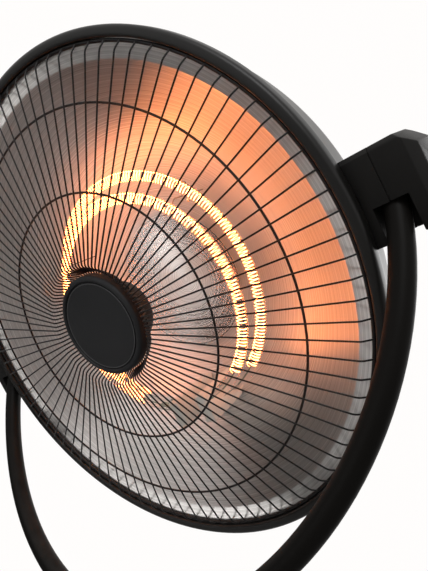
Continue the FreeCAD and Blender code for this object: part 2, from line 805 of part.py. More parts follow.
housing = new_body("rear_housing")
made = outline(sketch(housing, "XY", f"-{HOUSING_BACK}"), housing_outline("0"))
pad(housing, made, "housing_height - seat_gap")
made = outline(sketch(housing, "XY", "-shell_depth - seat_gap"), housing_outline("housing_wall"))
pocket(housing, made, "housing_height - housing_wall - seat_gap")
made = sketch(housing, "XY", "-shell_depth")
circle(made, "0", "selector_y", "selector_shaft_radius + selector_gap")
pocket(housing, made, "housing_height")
made = sketch(housing, "XZ", "housing_bottom - housing_wall * 2")
outline(made, regular("0", "-gland_depth", "gland_sleeve + weld_gap", SMALL_SIDES))
pocket(housing, made, "housing_wall * 3", reverse=True)
keep(on_head(housing))

gland = new_body("cord_gland")
for lift, length, across, corners in (
    ("housing_bottom + weld_gap", "gland_nut_height", "gland_nut", TUBE_SIDES),
    ("housing_bottom - housing_wall * 2", "housing_wall * 2 + weld_gap * 2", "gland_sleeve", SMALL_SIDES),
):
    made = outline(sketch(gland, "XZ", lift), regular("0", "-gland_depth", across, corners))
    outline(made, regular("0", "-gland_depth", "gland_bore", SMALL_SIDES))
    pad(gland, made, length)
keep(on_head(gland))


def block(name, points, low, high):
    """Upright piece with faces square to the head."""
    body = new_body(name)
    return on_head(pad(body, outline(sketch(body, "XY", low), points), f"{high} - ({low})"))


points = rectangle("-block_half_width", "-block_bottom", "block_half_width", "-block_top")
keep(block("terminal_block", points, FLOOR_IN, BLOCK_FACE))
SWITCH_X = "(-housing_half_width + housing_wall + seat_gap)"
SWITCH_END = "tip_switch_length / 2"
points = rectangle(SWITCH_X, f"-{SWITCH_END}", f"{SWITCH_X} + tip_switch_width", SWITCH_END)
keep(block("tip_switch", points, FLOOR_IN, f"{FLOOR_IN} + tip_switch_width"))
points = regular("cutout_x", "0", "cutout_across", SMALL_SIDES)
keep(block("thermal_cutout", points, FLOOR_IN, f"{FLOOR_IN} + cutout_height"))
SHAFT_END = f"(-{HOUSING_BACK} - selector_shaft_reach)"
points = regular("0", "selector_y", "selector_body", 4)
switch = block("selector_switch", points, FLOOR_IN, f"{FLOOR_IN} + selector_body_height")
made = circle(sketch(switch, "XY", SHAFT_END), "0", "selector_y", "selector_shaft_radius")
keep(pad(switch, made, f"{FLOOR_IN} - {SHAFT_END}"))

KNOB_FACE = f"(-{HOUSING_BACK} - selector_gap - selector_knob_height)"
points = regular("0", "selector_y", "selector_knob_across", SMALL_SIDES)
knob = block("selector_knob", points, KNOB_FACE, f"{KNOB_FACE} + selector_knob_height")
made = sketch(knob, "XY", f"{KNOB_FACE} + selector_knob_height / 2")
for side in ("", "-"):
    near = f"{side}selector_knob_ridge / 2"
    far = f"{side}selector_knob_across"
    low = "selector_y - selector_knob_across"
    high = "selector_y + selector_knob_across"
    outline(made, rectangle(near, low, far, high))
pocket(knob, made, "selector_knob_height / 2")
made = sketch(knob, "XY", f"-{HOUSING_BACK}")
circle(made, "0", "selector_y", "selector_shaft_radius + pivot_clearance")
keep(pocket(knob, made, "selector_shaft_reach + seat_gap"))

# Yoke: a tube bent to a half circle, with a knuckle welded to each end
YOKE_CENTRE = "(pivot_height - yoke_leg)"
YOKE_BOTTOM = f"({YOKE_CENTRE} - yoke_radius)"
ALONG_X = "rotation(vector(0; 1; 0); 90)"
KNUCKLE = "(slot_width - 2 * knuckle_gap)"


def on_yoke_end(kind, name, radius, length, side):
    """Round or many-sided bar centred on one pivot."""
    made = doc.addObject(kind, name)
    made.setExpression("Radius" if kind == "Part::Cylinder" else "Circumradius", ex(radius))
    made.setExpression("Height", ex(length))
    start = f"{side} * yoke_radius - {length} / 2"
    made.setExpression("Placement", ex(f"placement(vector({start}; 0; pivot_height); {ALONG_X})"))
    return made


def yoke_leg(name, side):
    """Straight end of the tube, up to the pivot."""
    body = new_body(name)
    section = regular(f"{side} * yoke_radius", "0", "yoke_tube_radius * 2", YOKE_SIDES)
    return pad(body, outline(sketch(body, "XY", YOKE_CENTRE), section), "yoke_leg")


YOKE_ENDS = (("right", "1"), ("left", "-1"))
bow = turned("yoke_bow", regular("yoke_radius", "0", "yoke_tube_radius * 2", YOKE_SIDES), sweep="180")
bow_turn = "rotation(vector(1; 0; 0); 90) * rotation(vector(0; 0; 1); 180)"
bow.setExpression("Placement", ex(f"placement(vector(0; 0; {YOKE_CENTRE}); {bow_turn})"))
welded = doc.addObject("Part::MultiFuse", "yoke_welded")
drilled = doc.addObject("Part::MultiFuse", "knuckle_bores")
legs = [yoke_leg(f"yoke_leg_{word}", side) for word, side in YOKE_ENDS]
PIVOT_BORE = "pivot_bolt_radius + pivot_clearance"
knuckles = []
bores = []
for word, side in YOKE_ENDS:
    knuckle = on_yoke_end("Part::Prism", f"knuckle_{word}", "knuckle_radius", KNUCKLE, side)
    knuckle.Polygon = ROUND_SIDES
    knuckles.append(knuckle)
    bores.append(on_yoke_end("Part::Cylinder", f"pivot_bore_{word}", PIVOT_BORE, "slot_width", side))
welded.Shapes = [bow] + legs + knuckles
drilled.Shapes = bores
keep(combined("Part::Cut", "yoke_tube", welded, drilled))

# Yoke clamp: base and cap round the lowest part of the tube, on top of the upper pole
CHANNEL = "(yoke_tube_radius + clamp_fit)"
CHANNEL_FLOOR = f"({YOKE_BOTTOM} - {CHANNEL})"
CLAMP_LOW = f"({CHANNEL_FLOOR} - clamp_base_wall)"
POLE_TOP = f"({CHANNEL_FLOOR} - clamp_base_wall / 2)"
INNER_BEND = "(yoke_radius - yoke_tube_radius)"
BEND_RISE = f"({INNER_BEND} - sqrt({INNER_BEND} ^ 2 - clamp_half_length ^ 2))"
CHANNEL_ROOF = f"({YOKE_BOTTOM} + {CHANNEL} + {BEND_RISE} + clamp_roof_gap)"


def clamp_half(name, split, channel_end, outside):
    """Block along X with an open channel for the tube."""
    body = new_body(name)
    made = outline(sketch(body, "YZ", "-clamp_half_length"), [
        ("-clamp_half_width", outside), ("clamp_half_width", outside),
        ("clamp_half_width", split), (CHANNEL, split),
        (CHANNEL, channel_end), (f"-{CHANNEL}", channel_end),
        (f"-{CHANNEL}", split), ("-clamp_half_width", split),
    ])
    return pad(body, made, "clamp_half_length * 2")


CAP_SPLIT = f"{YOKE_BOTTOM} + clamp_joint_gap"
keep(clamp_half("yoke_clamp_cap", CAP_SPLIT, CHANNEL_ROOF, f"{CHANNEL_ROOF} + clamp_cap_wall"))
base = clamp_half("yoke_clamp_base", YOKE_BOTTOM, CHANNEL_FLOOR, CLAMP_LOW)
made = sketch(base, "XY", f"{CLAMP_LOW} - clamp_neck_length")
pad(base, outline(made, regular("0", "0", "clamp_neck_radius * 2", ROUND_SIDES)), "clamp_neck_length")
made = circle(sketch(base, "XY", POLE_TOP), "0", "0", "upper_pole_radius + pole_fit")
keep(pocket(base, made, f"{POLE_TOP} - ({CLAMP_LOW}) + clamp_neck_length"))

# Poles: the upper slides in the lower on the guide at its foot, and in the collar
UPPER_BORE = "(upper_pole_radius - pole_wall)"
LOWER_BORE = "(lower_pole_radius - pole_wall)"
UPPER_LENGTH = f"{POLE_TOP} - seat_gap - upper_pole_bottom"
upper = tube_of("upper_pole", "upper_pole_radius", UPPER_BORE, "upper_pole_bottom", UPPER_LENGTH)
made = circle(sketch(upper, "XY", "upper_pole_bottom"), "0", "0", f"{LOWER_BORE} - slide_clearance")
keep(pad(upper, circle(made, "0", "0", "upper_pole_radius - pole_wall / 2"), "guide_length"))
PLATE_TOP = "(foot_height + plate_thickness)"
POLE_FOOT = f"({PLATE_TOP} + socket_floor)"
keep(tube_of("lower_pole", "lower_pole_radius", LOWER_BORE, POLE_FOOT, f"lower_pole_top - {POLE_FOOT}"))

collar = new_body("height_collar")
made = sketch(collar, "XY", "lower_pole_top - collar_below")
outline(made, regular("0", "0", "collar_radius * 2", ROUND_SIDES))
circle(made, "0", "0", "upper_pole_radius + slide_clearance")
pad(collar, made, "collar_below + collar_above")
made = circle(sketch(collar, "XY", "lower_pole_top + weld_gap"), "0", "0", "lower_pole_radius + pole_fit")
pocket(collar, made, "collar_below + weld_gap")
CLAMP_Z = "(lower_pole_top + collar_above / 2)"
made = sketch(collar, "XZ", "-collar_boss_reach")
outline(made, regular("0", CLAMP_Z, "collar_boss_radius * 2", SMALL_SIDES))
pad(collar, made, "collar_boss_reach - (upper_pole_radius + collar_radius) / 2")
STUD_HOLE = regular("0", CLAMP_Z, "2 * (stud_radius + pivot_clearance)", SMALL_SIDES)
keep(pocket(collar, outline(sketch(collar, "XZ"), STUD_HOLE), "collar_boss_reach"))

KNOB_NEAR = "(collar_boss_reach + knob_gap)"
knob = new_body("clamp_knob")
rim = []
for k in range(2 * KNOB_LOBES):
    turn = pi * k / KNOB_LOBES
    reach = "knob_radius" if k % 2 == 0 else "(knob_radius - knob_lobe_depth)"
    rim.append((f"{cos(turn):.5f} * {reach}", f"{CLAMP_Z} + {sin(turn):.5f} * {reach}"))
keep(pad(knob, outline(sketch(knob, "XZ", f"-{KNOB_NEAR} - knob_width"), rim), "knob_width"))
stud = new_body("clamp_stud")
made = circle(sketch(stud, "XZ", f"-{KNOB_NEAR} + weld_gap"), "0", CLAMP_Z, "stud_radius")
keep(pad(stud, made, f"{KNOB_NEAR} - weld_gap - upper_pole_radius - stud_tip_gap"))

# Base: a steel plate for weight, a pressed cover, the pole socket and rubber feet
PLATE_EDGE = "base_radius - cover_sheet - seat_gap"
keep(turned("base_plate", rectangle("0", "foot_height", PLATE_EDGE, PLATE_TOP)))
keep(turned("base_cover", [
    ("base_radius - cover_sheet", "cover_skirt_bottom"),
    ("base_radius", "cover_skirt_bottom"),
    ("base_radius", "cover_skirt_top"),
    ("cover_flat_radius", "cover_top"),
    ("socket_flange_radius + cover_gap", "cover_top"),
    ("socket_flange_radius + cover_gap", "cover_top - cover_sheet"),
    ("cover_flat_radius", "cover_top - cover_sheet"),
    ("base_radius - cover_sheet", "cover_skirt_top - cover_sheet"),
]))
socket = new_body("pole_socket")
SOCKET_STEPS = [
    ("socket_flange_radius", "socket_flange_height"),
    ("socket_neck_radius", "socket_height"),
]
for radius, height in SOCKET_STEPS:
    made = outline(sketch(socket, "XY", PLATE_TOP), regular("0", "0", f"{radius} * 2", ROUND_SIDES))
    pad(socket, made, height)
made = circle(sketch(socket, "XY", f"{PLATE_TOP} + socket_height"), "0", "0", "lower_pole_radius + pole_fit")
keep(pocket(socket, made, "socket_height - socket_floor"))

feet = new_body("rubber_feet")
made = sketch(feet, "XY")
for k in range(FOOT_COUNT):
    turn = 2 * pi * k / FOOT_COUNT + pi / 2
    x = f"{cos(turn):.6f} * foot_circle"
    y = f"{sin(turn):.6f} * foot_circle"
    outline(made, regular(x, y, "foot_across", SMALL_SIDES))
keep(pad(feet, made, "foot_height"))

# Checks, then one file for each sub-part
doc.recompute()
failed = [thing.Name for thing in doc.Objects if {"Invalid", "Error"} & set(thing.State)]
failed += [thing.Label for thing in nodes if thing.Shape.isNull() or not thing.Shape.isValid()]
assert not failed, failed
os.makedirs("parts", exist_ok=True)
for thing in nodes:
    thing.Shape.exportStep(f"parts/{thing.Label}.step")
    print(thing.Label, len(thing.Shape.Solids), round(thing.Shape.Volume))
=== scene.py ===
# %% [markdown]
# # A freestanding infrared heater
# The heater is a spun metal dish with two glowing lamps behind a wire guard. It hangs between the arms of
# a yoke on a telescopic pole. Every piece below is drawn in millimetres in the place where the real one is
# made, and is then set into the shared frame in metres.

import math

import bmesh
import bpy
from mathutils import Matrix, Vector


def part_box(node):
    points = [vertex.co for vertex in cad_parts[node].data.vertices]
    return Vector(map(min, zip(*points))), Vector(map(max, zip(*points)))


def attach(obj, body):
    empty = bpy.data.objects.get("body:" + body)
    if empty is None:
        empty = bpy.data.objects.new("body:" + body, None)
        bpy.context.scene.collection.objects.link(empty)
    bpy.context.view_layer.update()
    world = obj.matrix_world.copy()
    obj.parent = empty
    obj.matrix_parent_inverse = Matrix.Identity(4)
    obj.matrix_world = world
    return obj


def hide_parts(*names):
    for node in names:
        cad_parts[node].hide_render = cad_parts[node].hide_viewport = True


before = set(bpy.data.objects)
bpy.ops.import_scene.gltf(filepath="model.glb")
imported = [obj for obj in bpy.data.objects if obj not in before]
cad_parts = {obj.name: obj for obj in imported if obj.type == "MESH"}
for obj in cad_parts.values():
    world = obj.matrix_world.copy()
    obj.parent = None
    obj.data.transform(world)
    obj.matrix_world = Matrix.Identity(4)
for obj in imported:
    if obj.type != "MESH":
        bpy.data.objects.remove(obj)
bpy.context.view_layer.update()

# %% [markdown]
# ## Two drawing boards
# The stand is upright, so its drawing board is the scene itself. The head leans forward about the pivot
# line, so its board is turned with it: X runs to the right pivot, Y up across the dish and Z out of its
# mouth. A piece of the head can then be drawn square and round, and one matrix leans it.

# %% Drawing boards
MM = 0.001
TILT = math.radians(37)
PIVOT_HEIGHT = 1680
PIVOT_DEPTH = 28
lean = Matrix.Rotation(math.pi / 2 + TILT, 4, "X")
mouth_centre = Vector((0, -PIVOT_DEPTH * math.cos(TILT), PIVOT_HEIGHT - PIVOT_DEPTH * math.sin(TILT)))
STAND = Matrix.Scale(MM, 4)
HEAD = STAND @ Matrix.Translation(mouth_centre) @ lean
ring_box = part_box("guard_outer_ring")
print("mouth centre is off by mm:", ((ring_box[0] + ring_box[1]) / 2 / MM - mouth_centre).length)

# %% [markdown]
# ## The camera
# The picture is taken from close by, low on the right, with a short lens. The lens and the place of the
# camera were worked out from the circle of the guard and its wires, so they are given on the head's board.

# %% Camera
FRAME_HEIGHT = 571
FOCAL_PIXELS = 511.1
camera_data = bpy.data.cameras.new("camera")
camera_data.sensor_width = 36
camera_data.lens = FOCAL_PIXELS / FRAME_HEIGHT * camera_data.sensor_width
camera_data.clip_start = 0.01
camera = bpy.data.objects.new("camera", camera_data)
bpy.context.scene.collection.objects.link(camera)
camera_right = Vector((0.7190, -0.4545, -0.5258))
camera_up = Vector((0.3234, 0.8885, -0.3257))
camera_back = camera_right.cross(camera_up).normalized()
camera_up = camera_back.cross(camera_right).normalized()
camera_place = Vector((393.1, 16.6, 354.5))
view_turn = Matrix((camera_right.normalized(), camera_up, camera_back)).transposed()
camera.matrix_world = Matrix.Translation(HEAD @ camera_place) @ (lean.to_3x3() @ view_turn).to_4x4()
bpy.context.scene.camera = camera
print("lens in mm:", round(camera_data.lens, 2))

# %% [markdown]
# ## Finishes
# Paint, moulded plastic and spun metal each have a fine structure that catches the light. Two effects are
# shared: a grain, which is fine noise for bump and gloss, and dust, which settles on faces that look up.
# Each is a node group that is placed in a material with its own values.


# %% Helpers for nodes
def new_group(name, inputs, outputs):
    """Shader node group with float or colour sockets."""
    group = bpy.data.node_groups.new(name, "ShaderNodeTree")
    for label, kind, value in inputs:
        socket = group.interface.new_socket(label, in_out="INPUT", socket_type=kind)
        socket.default_value = value
    for label, kind in outputs:
        group.interface.new_socket(label, in_out="OUTPUT", socket_type=kind)
    nodes = group.nodes
    return group, nodes.new("NodeGroupInput"), nodes.new("NodeGroupOutput")


def maths(nodes, operation):
    """Math node for one operation."""
    node = nodes.new("ShaderNodeMath")
    node.operation = operation
    return node


def give(node, values):
    """Set the inputs of a node."""
    for label, value in values.items():
        node.inputs[label].default_value = value


def wire_up(links, *joins):
    """Join nodes: each join names a node, its output, the next node and the input there."""
    for start, output, end, entry in joins:
        links.new(start.outputs[output], end.inputs[entry])


FLOAT = "NodeSocketFloat"
COLOUR = "NodeSocketColor"

# %% Grain
grain_group, given, result = new_group(
    "fine_grain",
    [("Scale", FLOAT, 900.0), ("Gloss", FLOAT, 0.4), ("Spread", FLOAT, 0.1)],
    [("Height", FLOAT), ("Roughness", FLOAT)],
)
nodes, links = grain_group.nodes, grain_group.links
where = nodes.new("ShaderNodeTexCoord")
noise = nodes.new("ShaderNodeTexNoise")
noise.inputs["Detail"].default_value = 3
broad = nodes.new("ShaderNodeTexNoise")
give(broad, {"Scale": 14, "Detail": 4})
spread = maths(nodes, "MULTIPLY_ADD")
centre = maths(nodes, "SUBTRACT")
centre.inputs[1].default_value = 0.5
wire_up(links, (where, "Object", noise, "Vector"), (given, "Scale", noise, "Scale"),
        (where, "Object", broad, "Vector"), (broad, "Fac", centre, 0), (centre, 0, spread, 0),
        (given, "Spread", spread, 1), (given, "Gloss", spread, 2), (noise, "Fac", result, "Height"),
        (spread, 0, result, "Roughness"))
print("made", grain_group.name)

# %% Dust
dust_group, given, result = new_group(
    "settled_dust",
    [("Colour", COLOUR, (0.02, 0.02, 0.02, 1)), ("Dust", COLOUR, (0.3, 0.28, 0.26, 1)),
     ("Amount", FLOAT, 0.1)],
    [("Colour", COLOUR)],
)
nodes, links = dust_group.nodes, dust_group.links
where = nodes.new("ShaderNodeTexCoord")
noise = nodes.new("ShaderNodeTexNoise")
give(noise, {"Scale": 60, "Detail": 6})
outward = nodes.new("ShaderNodeNewGeometry")
upward = nodes.new("ShaderNodeSeparateXYZ")
lying = nodes.new("ShaderNodeMapRange")
give(lying, {"From Min": 0.1, "From Max": 1.0})
patchy = maths(nodes, "MULTIPLY")
share = maths(nodes, "MULTIPLY")
mix = nodes.new("ShaderNodeMix")
mix.data_type = "RGBA"
wire_up(links, (where, "Object", noise, "Vector"), (outward, "Normal", upward, 0),
        (upward, "Z", lying, "Value"), (lying, "Result", patchy, 0), (noise, "Fac", patchy, 1),
        (patchy, 0, share, 0), (given, "Amount", share, 1), (share, 0, mix, "Factor"),
        (given, "Colour", mix, "A"), (given, "Dust", mix, "B"), (mix, "Result", result, "Colour"))
print("made", dust_group.name)

# %% [markdown]
# ## Painted and moulded finishes
# The guard and the rim are coated wire and sheet with a soft gloss. The brackets and the hub are moulded
# with a fine texture, so they look matt. They differ only in colour, gloss and the size of the grain.


# %% Coated finishes
GRAIN_DEPTH = 0.0003


def new_material(name):
    """New material, with its nodes, its links and its main shader."""
    material = bpy.data.materials.new(name)
    material.use_nodes = True
    tree = material.node_tree
    return material, tree.nodes, tree.links, tree.nodes["Principled BSDF"]


def place_group(material, group, **values):
    """Put a shared effect into a material with its own values."""
    node = material.node_tree.nodes.new("ShaderNodeGroup")
    node.node_tree = group
    give(node, values)
    return node


def coated(name, colour, gloss, spread, grain, relief, dust=0.15, metallic=0.0, specular=0.5):
    """Paint, plastic, rubber or plain metal with a fine grain and a little dust on top."""
    material, nodes, links, surface = new_material(name)
    give(surface, {"Metallic": metallic, "Specular IOR Level": specular})
    fine = place_group(material, grain_group, Scale=grain, Gloss=gloss, Spread=spread)
    dusty = place_group(material, dust_group, Colour=(*colour, 1), Amount=dust)
    bump = nodes.new("ShaderNodeBump")
    give(bump, {"Strength": relief, "Distance": GRAIN_DEPTH})
    wire_up(links, (fine, "Height", bump, "Height"), (fine, "Roughness", surface, "Roughness"),
            (bump, "Normal", surface, "Normal"), (dusty, "Colour", surface, "Base Color"))
    return material


guard_paint = coated("guard_paint", (0.006, 0.005, 0.005), 0.36, 0.10, 700, 0.10, specular=0.25)
rim_paint = coated("rim_paint", (0.007, 0.0065, 0.006), 0.38, 0.12, 900, 0.12, specular=0.25)
hub_plastic = coated("hub_plastic", (0.010, 0.010, 0.011), 0.52, 0.10, 1500, 0.55, specular=0.25)
# Painted highlight: this paler, glossier plastic on the hub's bead stands in for the glint along the edge of
# the hub's face.
glint_bead_plastic = coated("glint_bead_plastic", (0.05, 0.05, 0.052), 0.30, 0.08, 1100, 0.1, specular=0.5)
cup_plastic = coated("cup_plastic", (0.008, 0.0075, 0.007), 0.45, 0.10, 1100, 0.15, specular=0.2)
bracket_plastic = coated("bracket_plastic", (0.006, 0.0055, 0.005), 0.55, 0.12, 1300, 0.35, specular=0.15)
shell_paint = coated("shell_paint", (0.16, 0.155, 0.15), 0.42, 0.10, 800, 0.12, dust=0.25, specular=0.35)
stand_paint = coated("stand_paint", (0.005, 0.0045, 0.004), 0.44, 0.12, 800, 0.16, dust=0.12, specular=0.05)
pole_metal = coated("pole_metal", (0.008, 0.0075, 0.007), 0.32, 0.10, 800, 0.12, specular=0.3)
base_paint = coated("base_paint", (0.010, 0.0095, 0.009), 0.48, 0.14, 900, 0.4, dust=0.3, specular=0.25)
bolt_steel = coated("bolt_steel", (0.35, 0.35, 0.36), 0.30, 0.15, 1200, 0.10, metallic=1.0)
screw_black = coated("screw_black", (0.03, 0.03, 0.03), 0.36, 0.15, 1200, 0.10, metallic=0.6)
clip_steel = coated("clip_steel", (0.30, 0.28, 0.26), 0.32, 0.15, 900, 0.15, dust=0.0, metallic=1.0)
foot_rubber = coated("foot_rubber", (0.012, 0.012, 0.012), 0.75, 0.10, 1100, 0.3, specular=0.3)
gland_plastic = coated("gland_plastic", (0.010, 0.010, 0.010), 0.5, 0.1, 1100, 0.2, specular=0.3)
switch_plastic = coated("switch_plastic", (0.016, 0.016, 0.016), 0.5, 0.1, 1100, 0.2, specular=0.3)
mark_paint = coated("mark_paint", (0.55, 0.55, 0.54), 0.5, 0.1, 1100, 0.1)
terminal_plastic = coated("terminal_plastic", (0.75, 0.73, 0.68), 0.5, 0.1, 900, 0.2)
wire_insulation = coated("wire_insulation", (0.55, 0.52, 0.46), 0.6, 0.1, 1600, 0.3)
lamp_ceramic = coated("lamp_ceramic", (0.62, 0.58, 0.52), 0.6, 0.15, 900, 0.3)
lead_metal = coated("lead_metal", (0.24, 0.31, 0.27), 0.32, 0.15, 1400, 0.1, dust=0.0, metallic=1.0)
print("coated finishes:", len(bpy.data.materials))

# %% [markdown]
# ## Spun aluminium
# The dish is spun on a lathe, and the tool leaves fine rings round its axis. Light that falls on such rings
# spreads across them, so highlights become rays that point to the centre. Anisotropy does the same in the
# shader. It needs to know which way the rings run, which the dish's own UV map tells it: its first number
# goes round the axis and its second is the radius. Noise along the radius alone then gives the fine rings.

# %% Spun metal
TOOL_MARKS = 900
TOOL_DEPTH = 0.0002


def ramp(nodes, *stops):
    """Colour ramp through stops of a place and a colour."""
    node = nodes.new("ShaderNodeValToRGB")
    elements = node.color_ramp.elements
    for element, (place, colour) in zip(elements, (stops[0], stops[-1])):
        element.position = place
        element.color = (*colour, 1)
    for place, colour in stops[1:-1]:
        elements.new(place).color = (*colour, 1)
    return node


spun_metal, nodes, links, surface = new_material("spun_metal")
give(surface, {"Metallic": 1.0, "Anisotropic": 0.6, "Anisotropic Rotation": 0.25})
rings_uv = nodes.new("ShaderNodeUVMap")
rings_uv.uv_map = "rings"
along = nodes.new("ShaderNodeTangent")
along.direction_type = "UV_MAP"
along.uv_map = "rings"
across = nodes.new("ShaderNodeSeparateXYZ")
lines = nodes.new("ShaderNodeTexNoise")
lines.noise_dimensions = "1D"
give(lines, {"Scale": TOOL_MARKS, "Detail": 3})
tint = ramp(nodes, (0.3, (0.52, 0.50, 0.48)), (0.7, (0.84, 0.82, 0.80)))
polish = nodes.new("ShaderNodeMapRange")
give(polish, {"To Min": 0.16, "To Max": 0.21})
tooling = nodes.new("ShaderNodeBump")
give(tooling, {"Strength": 0.02, "Distance": TOOL_DEPTH})
wire_up(links, (along, "Tangent", surface, "Tangent"), (rings_uv, "UV", across, "Vector"),
        (across, "Y", lines, "W"), (lines, "Fac", tint, "Fac"), (lines, "Fac", polish, "Value"),
        (lines, "Fac", tooling, "Height"), (tooling, "Normal", surface, "Normal"))
print("made", spun_metal.name)

# %% [markdown]
# ## Zones of the dish
# The dish isn't equally bright. Its middle mirrors clearly, a wide ring behind the lamps is dull, and the outer
# part up to the lip is painted a little darker, as painted shade in its reflection. Two ramps over the radius
# say how much roughness is added and how much of the colour is left. They were tried until the render's colours
# came near the picture's, and the radius in them is a share of the lip's.

# %% Zones of the dish
LIP_REACH = 0.255
DULLING = ((0.0, 0.10), (0.12, 0.10), (0.18, 0.08), (0.31, 0.08), (0.38, 0.29), (0.60, 0.29), (0.74, 0.17),
           (0.92, 0.17), (0.93, 0.13), (1.0, 0.13))
# Painted shade: the colour dips to 0.72 between 0.80 and 0.92 of the lip's radius, which darkens the reflection
# of the outer part.
COLOUR_LEFT = ((0.0, 1.0), (0.63, 1.0), (0.80, 0.72), (0.92, 0.72), (0.93, 1.0), (1.0, 1.0))


def grey_ramp(nodes, stops):
    return ramp(nodes, *((place, (level, level, level)) for place, level in stops))


share = nodes.new("ShaderNodeMapRange")
share.inputs["From Max"].default_value = LIP_REACH
zones = grey_ramp(nodes, DULLING)
duller = maths(nodes, "ADD")
painted_shade_ramp = grey_ramp(nodes, COLOUR_LEFT)
# Painted shade: this multiplies the dish's colour by the ramp over the radius.
painted_shade_mix = nodes.new("ShaderNodeMix")
painted_shade_mix.data_type = "RGBA"
painted_shade_mix.blend_type = "MULTIPLY"
painted_shade_mix.inputs["Factor"].default_value = 1.0
wire_up(links, (across, "Y", share, "Value"), (share, "Result", zones, "Fac"), (polish, "Result", duller, 0),
        (zones, "Color", duller, 1), (duller, 0, surface, "Roughness"), (share, "Result", painted_shade_ramp, "Fac"),
        (tint, "Color", painted_shade_mix, "A"), (painted_shade_ramp, "Color", painted_shade_mix, "B"),
        (painted_shade_mix, "Result", surface, "Base Color"))
print("zones:", len(DULLING), "stops of gloss,", len(COLOUR_LEFT), "stops of colour")

# %% [markdown]
# ## Quartz and the glowing coil
# The lamp is a clear quartz tube with a coil of resistance wire in it. Glass bends light, and light that is
# bent twice is slow to trace, so shadow rays and mirrored rays pass straight through. The coil glows orange,
# and hotter in some turns than in others.

# %% Lamp finishes
quartz, nodes, links, surface = new_material("quartz")
give(surface, {"Base Color": (1.0, 0.98, 0.95, 1), "Transmission Weight": 1.0, "IOR": 1.46, "Metallic": 0.0})
smears = place_group(quartz, grain_group, Scale=120.0, Gloss=0.05, Spread=0.05)
wire_up(links, (smears, "Roughness", surface, "Roughness"))
path = nodes.new("ShaderNodeLightPath")
clear = nodes.new("ShaderNodeBsdfTransparent")
straight = maths(nodes, "MAXIMUM")
choose = nodes.new("ShaderNodeMixShader")
wire_up(links, (path, "Is Shadow Ray", straight, 0), (path, "Is Glossy Ray", straight, 1),
        (straight, 0, choose, "Fac"), (surface, "BSDF", choose, 1), (clear, "BSDF", choose, 2))
links.new(choose.outputs["Shader"], nodes["Material Output"].inputs["Surface"])

glowing_coil, nodes, links, surface = new_material("hot_wire")
give(surface, {"Base Color": (0.25, 0.12, 0.06, 1), "Roughness": 0.6, "Emission Strength": 25.0})
where = nodes.new("ShaderNodeTexCoord")
turns = nodes.new("ShaderNodeTexNoise")
turns.inputs["Scale"].default_value = 260
heat = ramp(nodes, (0.35, (1.0, 0.225, 0.05)), (0.65, (1.0, 0.33, 0.10)))
wire_up(links, (where, "Object", turns, "Vector"), (turns, "Fac", heat, "Fac"),
        (heat, "Color", surface, "Emission Color"))
print("made", quartz.name, glowing_coil.name)

# %% [markdown]
# ## Making pieces
# Most pieces of the heater are turned, bent or moulded, so there is a helper for each trade. A turned piece
# is a profile that is spun once round the Z axis. A bent piece is a round section that is pushed forward
# and turned at each corner. A moulded piece starts from the plain solid, and its edges are rounded.


# %% Settle a piece
def settle(bm, name, body, material, place=HEAD, replaces=(), sharp=32):
    """Turn faces outwards, set the piece into the frame and let it ride on its body."""
    bmesh.ops.remove_doubles(bm, verts=bm.verts, dist=1e-4)
    bmesh.ops.recalc_face_normals(bm, faces=bm.faces)
    if bm.calc_volume(signed=True) < 0:
        bmesh.ops.reverse_faces(bm, faces=bm.faces)
    bmesh.ops.transform(bm, matrix=place, verts=bm.verts)
    mesh = bpy.data.meshes.new(name)
    bm.to_mesh(mesh)
    bm.free()
    mesh.polygons.foreach_set("use_smooth", [True] * len(mesh.polygons))
    mesh.set_sharp_from_angle(angle=math.radians(sharp))
    mesh.materials.append(material)
    piece = bpy.data.objects.new(name, mesh)
    bpy.context.scene.collection.objects.link(piece)
    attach(piece, body)
    if replaces:
        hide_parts(*replaces)
    print(name, len(mesh.polygons), "faces")
    return piece


# %% Turn a piece
AXIS = Vector((0, 0, 1))


def spin_round(bm, steps, angle=2 * math.pi):
    """Spin everything drawn so far round the Z axis."""
    whole = angle > 2 * math.pi - 1e-6
    bmesh.ops.spin(bm, geom=bm.verts[:] + bm.edges[:], cent=(0, 0, 0), axis=AXIS, angle=angle,
                   steps=steps, use_merge=whole, use_duplicate=False)
    return bm


def profile(bm, points, closed=False):
    """Lay straight lines through (radius, height) points; a third number rounds that corner."""
    verts = [bm.verts.new((point[0], 0, point[1])) for point in points]
    for pair in zip(verts, verts[1:] + verts[:1] if closed else verts[1:]):
        bm.edges.new(pair)
    for vert, point in zip(verts, points):
        if len(point) > 2:
            bmesh.ops.bevel(bm, geom=[vert], offset=point[2], offset_type="OFFSET", affect="VERTICES",
                            segments=5, profile=0.5, material=-1)
    return bm


def turned(points, closed=False, steps=96):
    return spin_round(profile(bmesh.new(), points, closed), steps)


# %% Bend a piece
def ring_edges(verts):
    inside = set(verts)
    return list({edge for vert in verts for edge in vert.link_edges if edge.other_vert(vert) in inside})


def of_type(geometry, kind):
    return [item for item in geometry if isinstance(item, kind)]


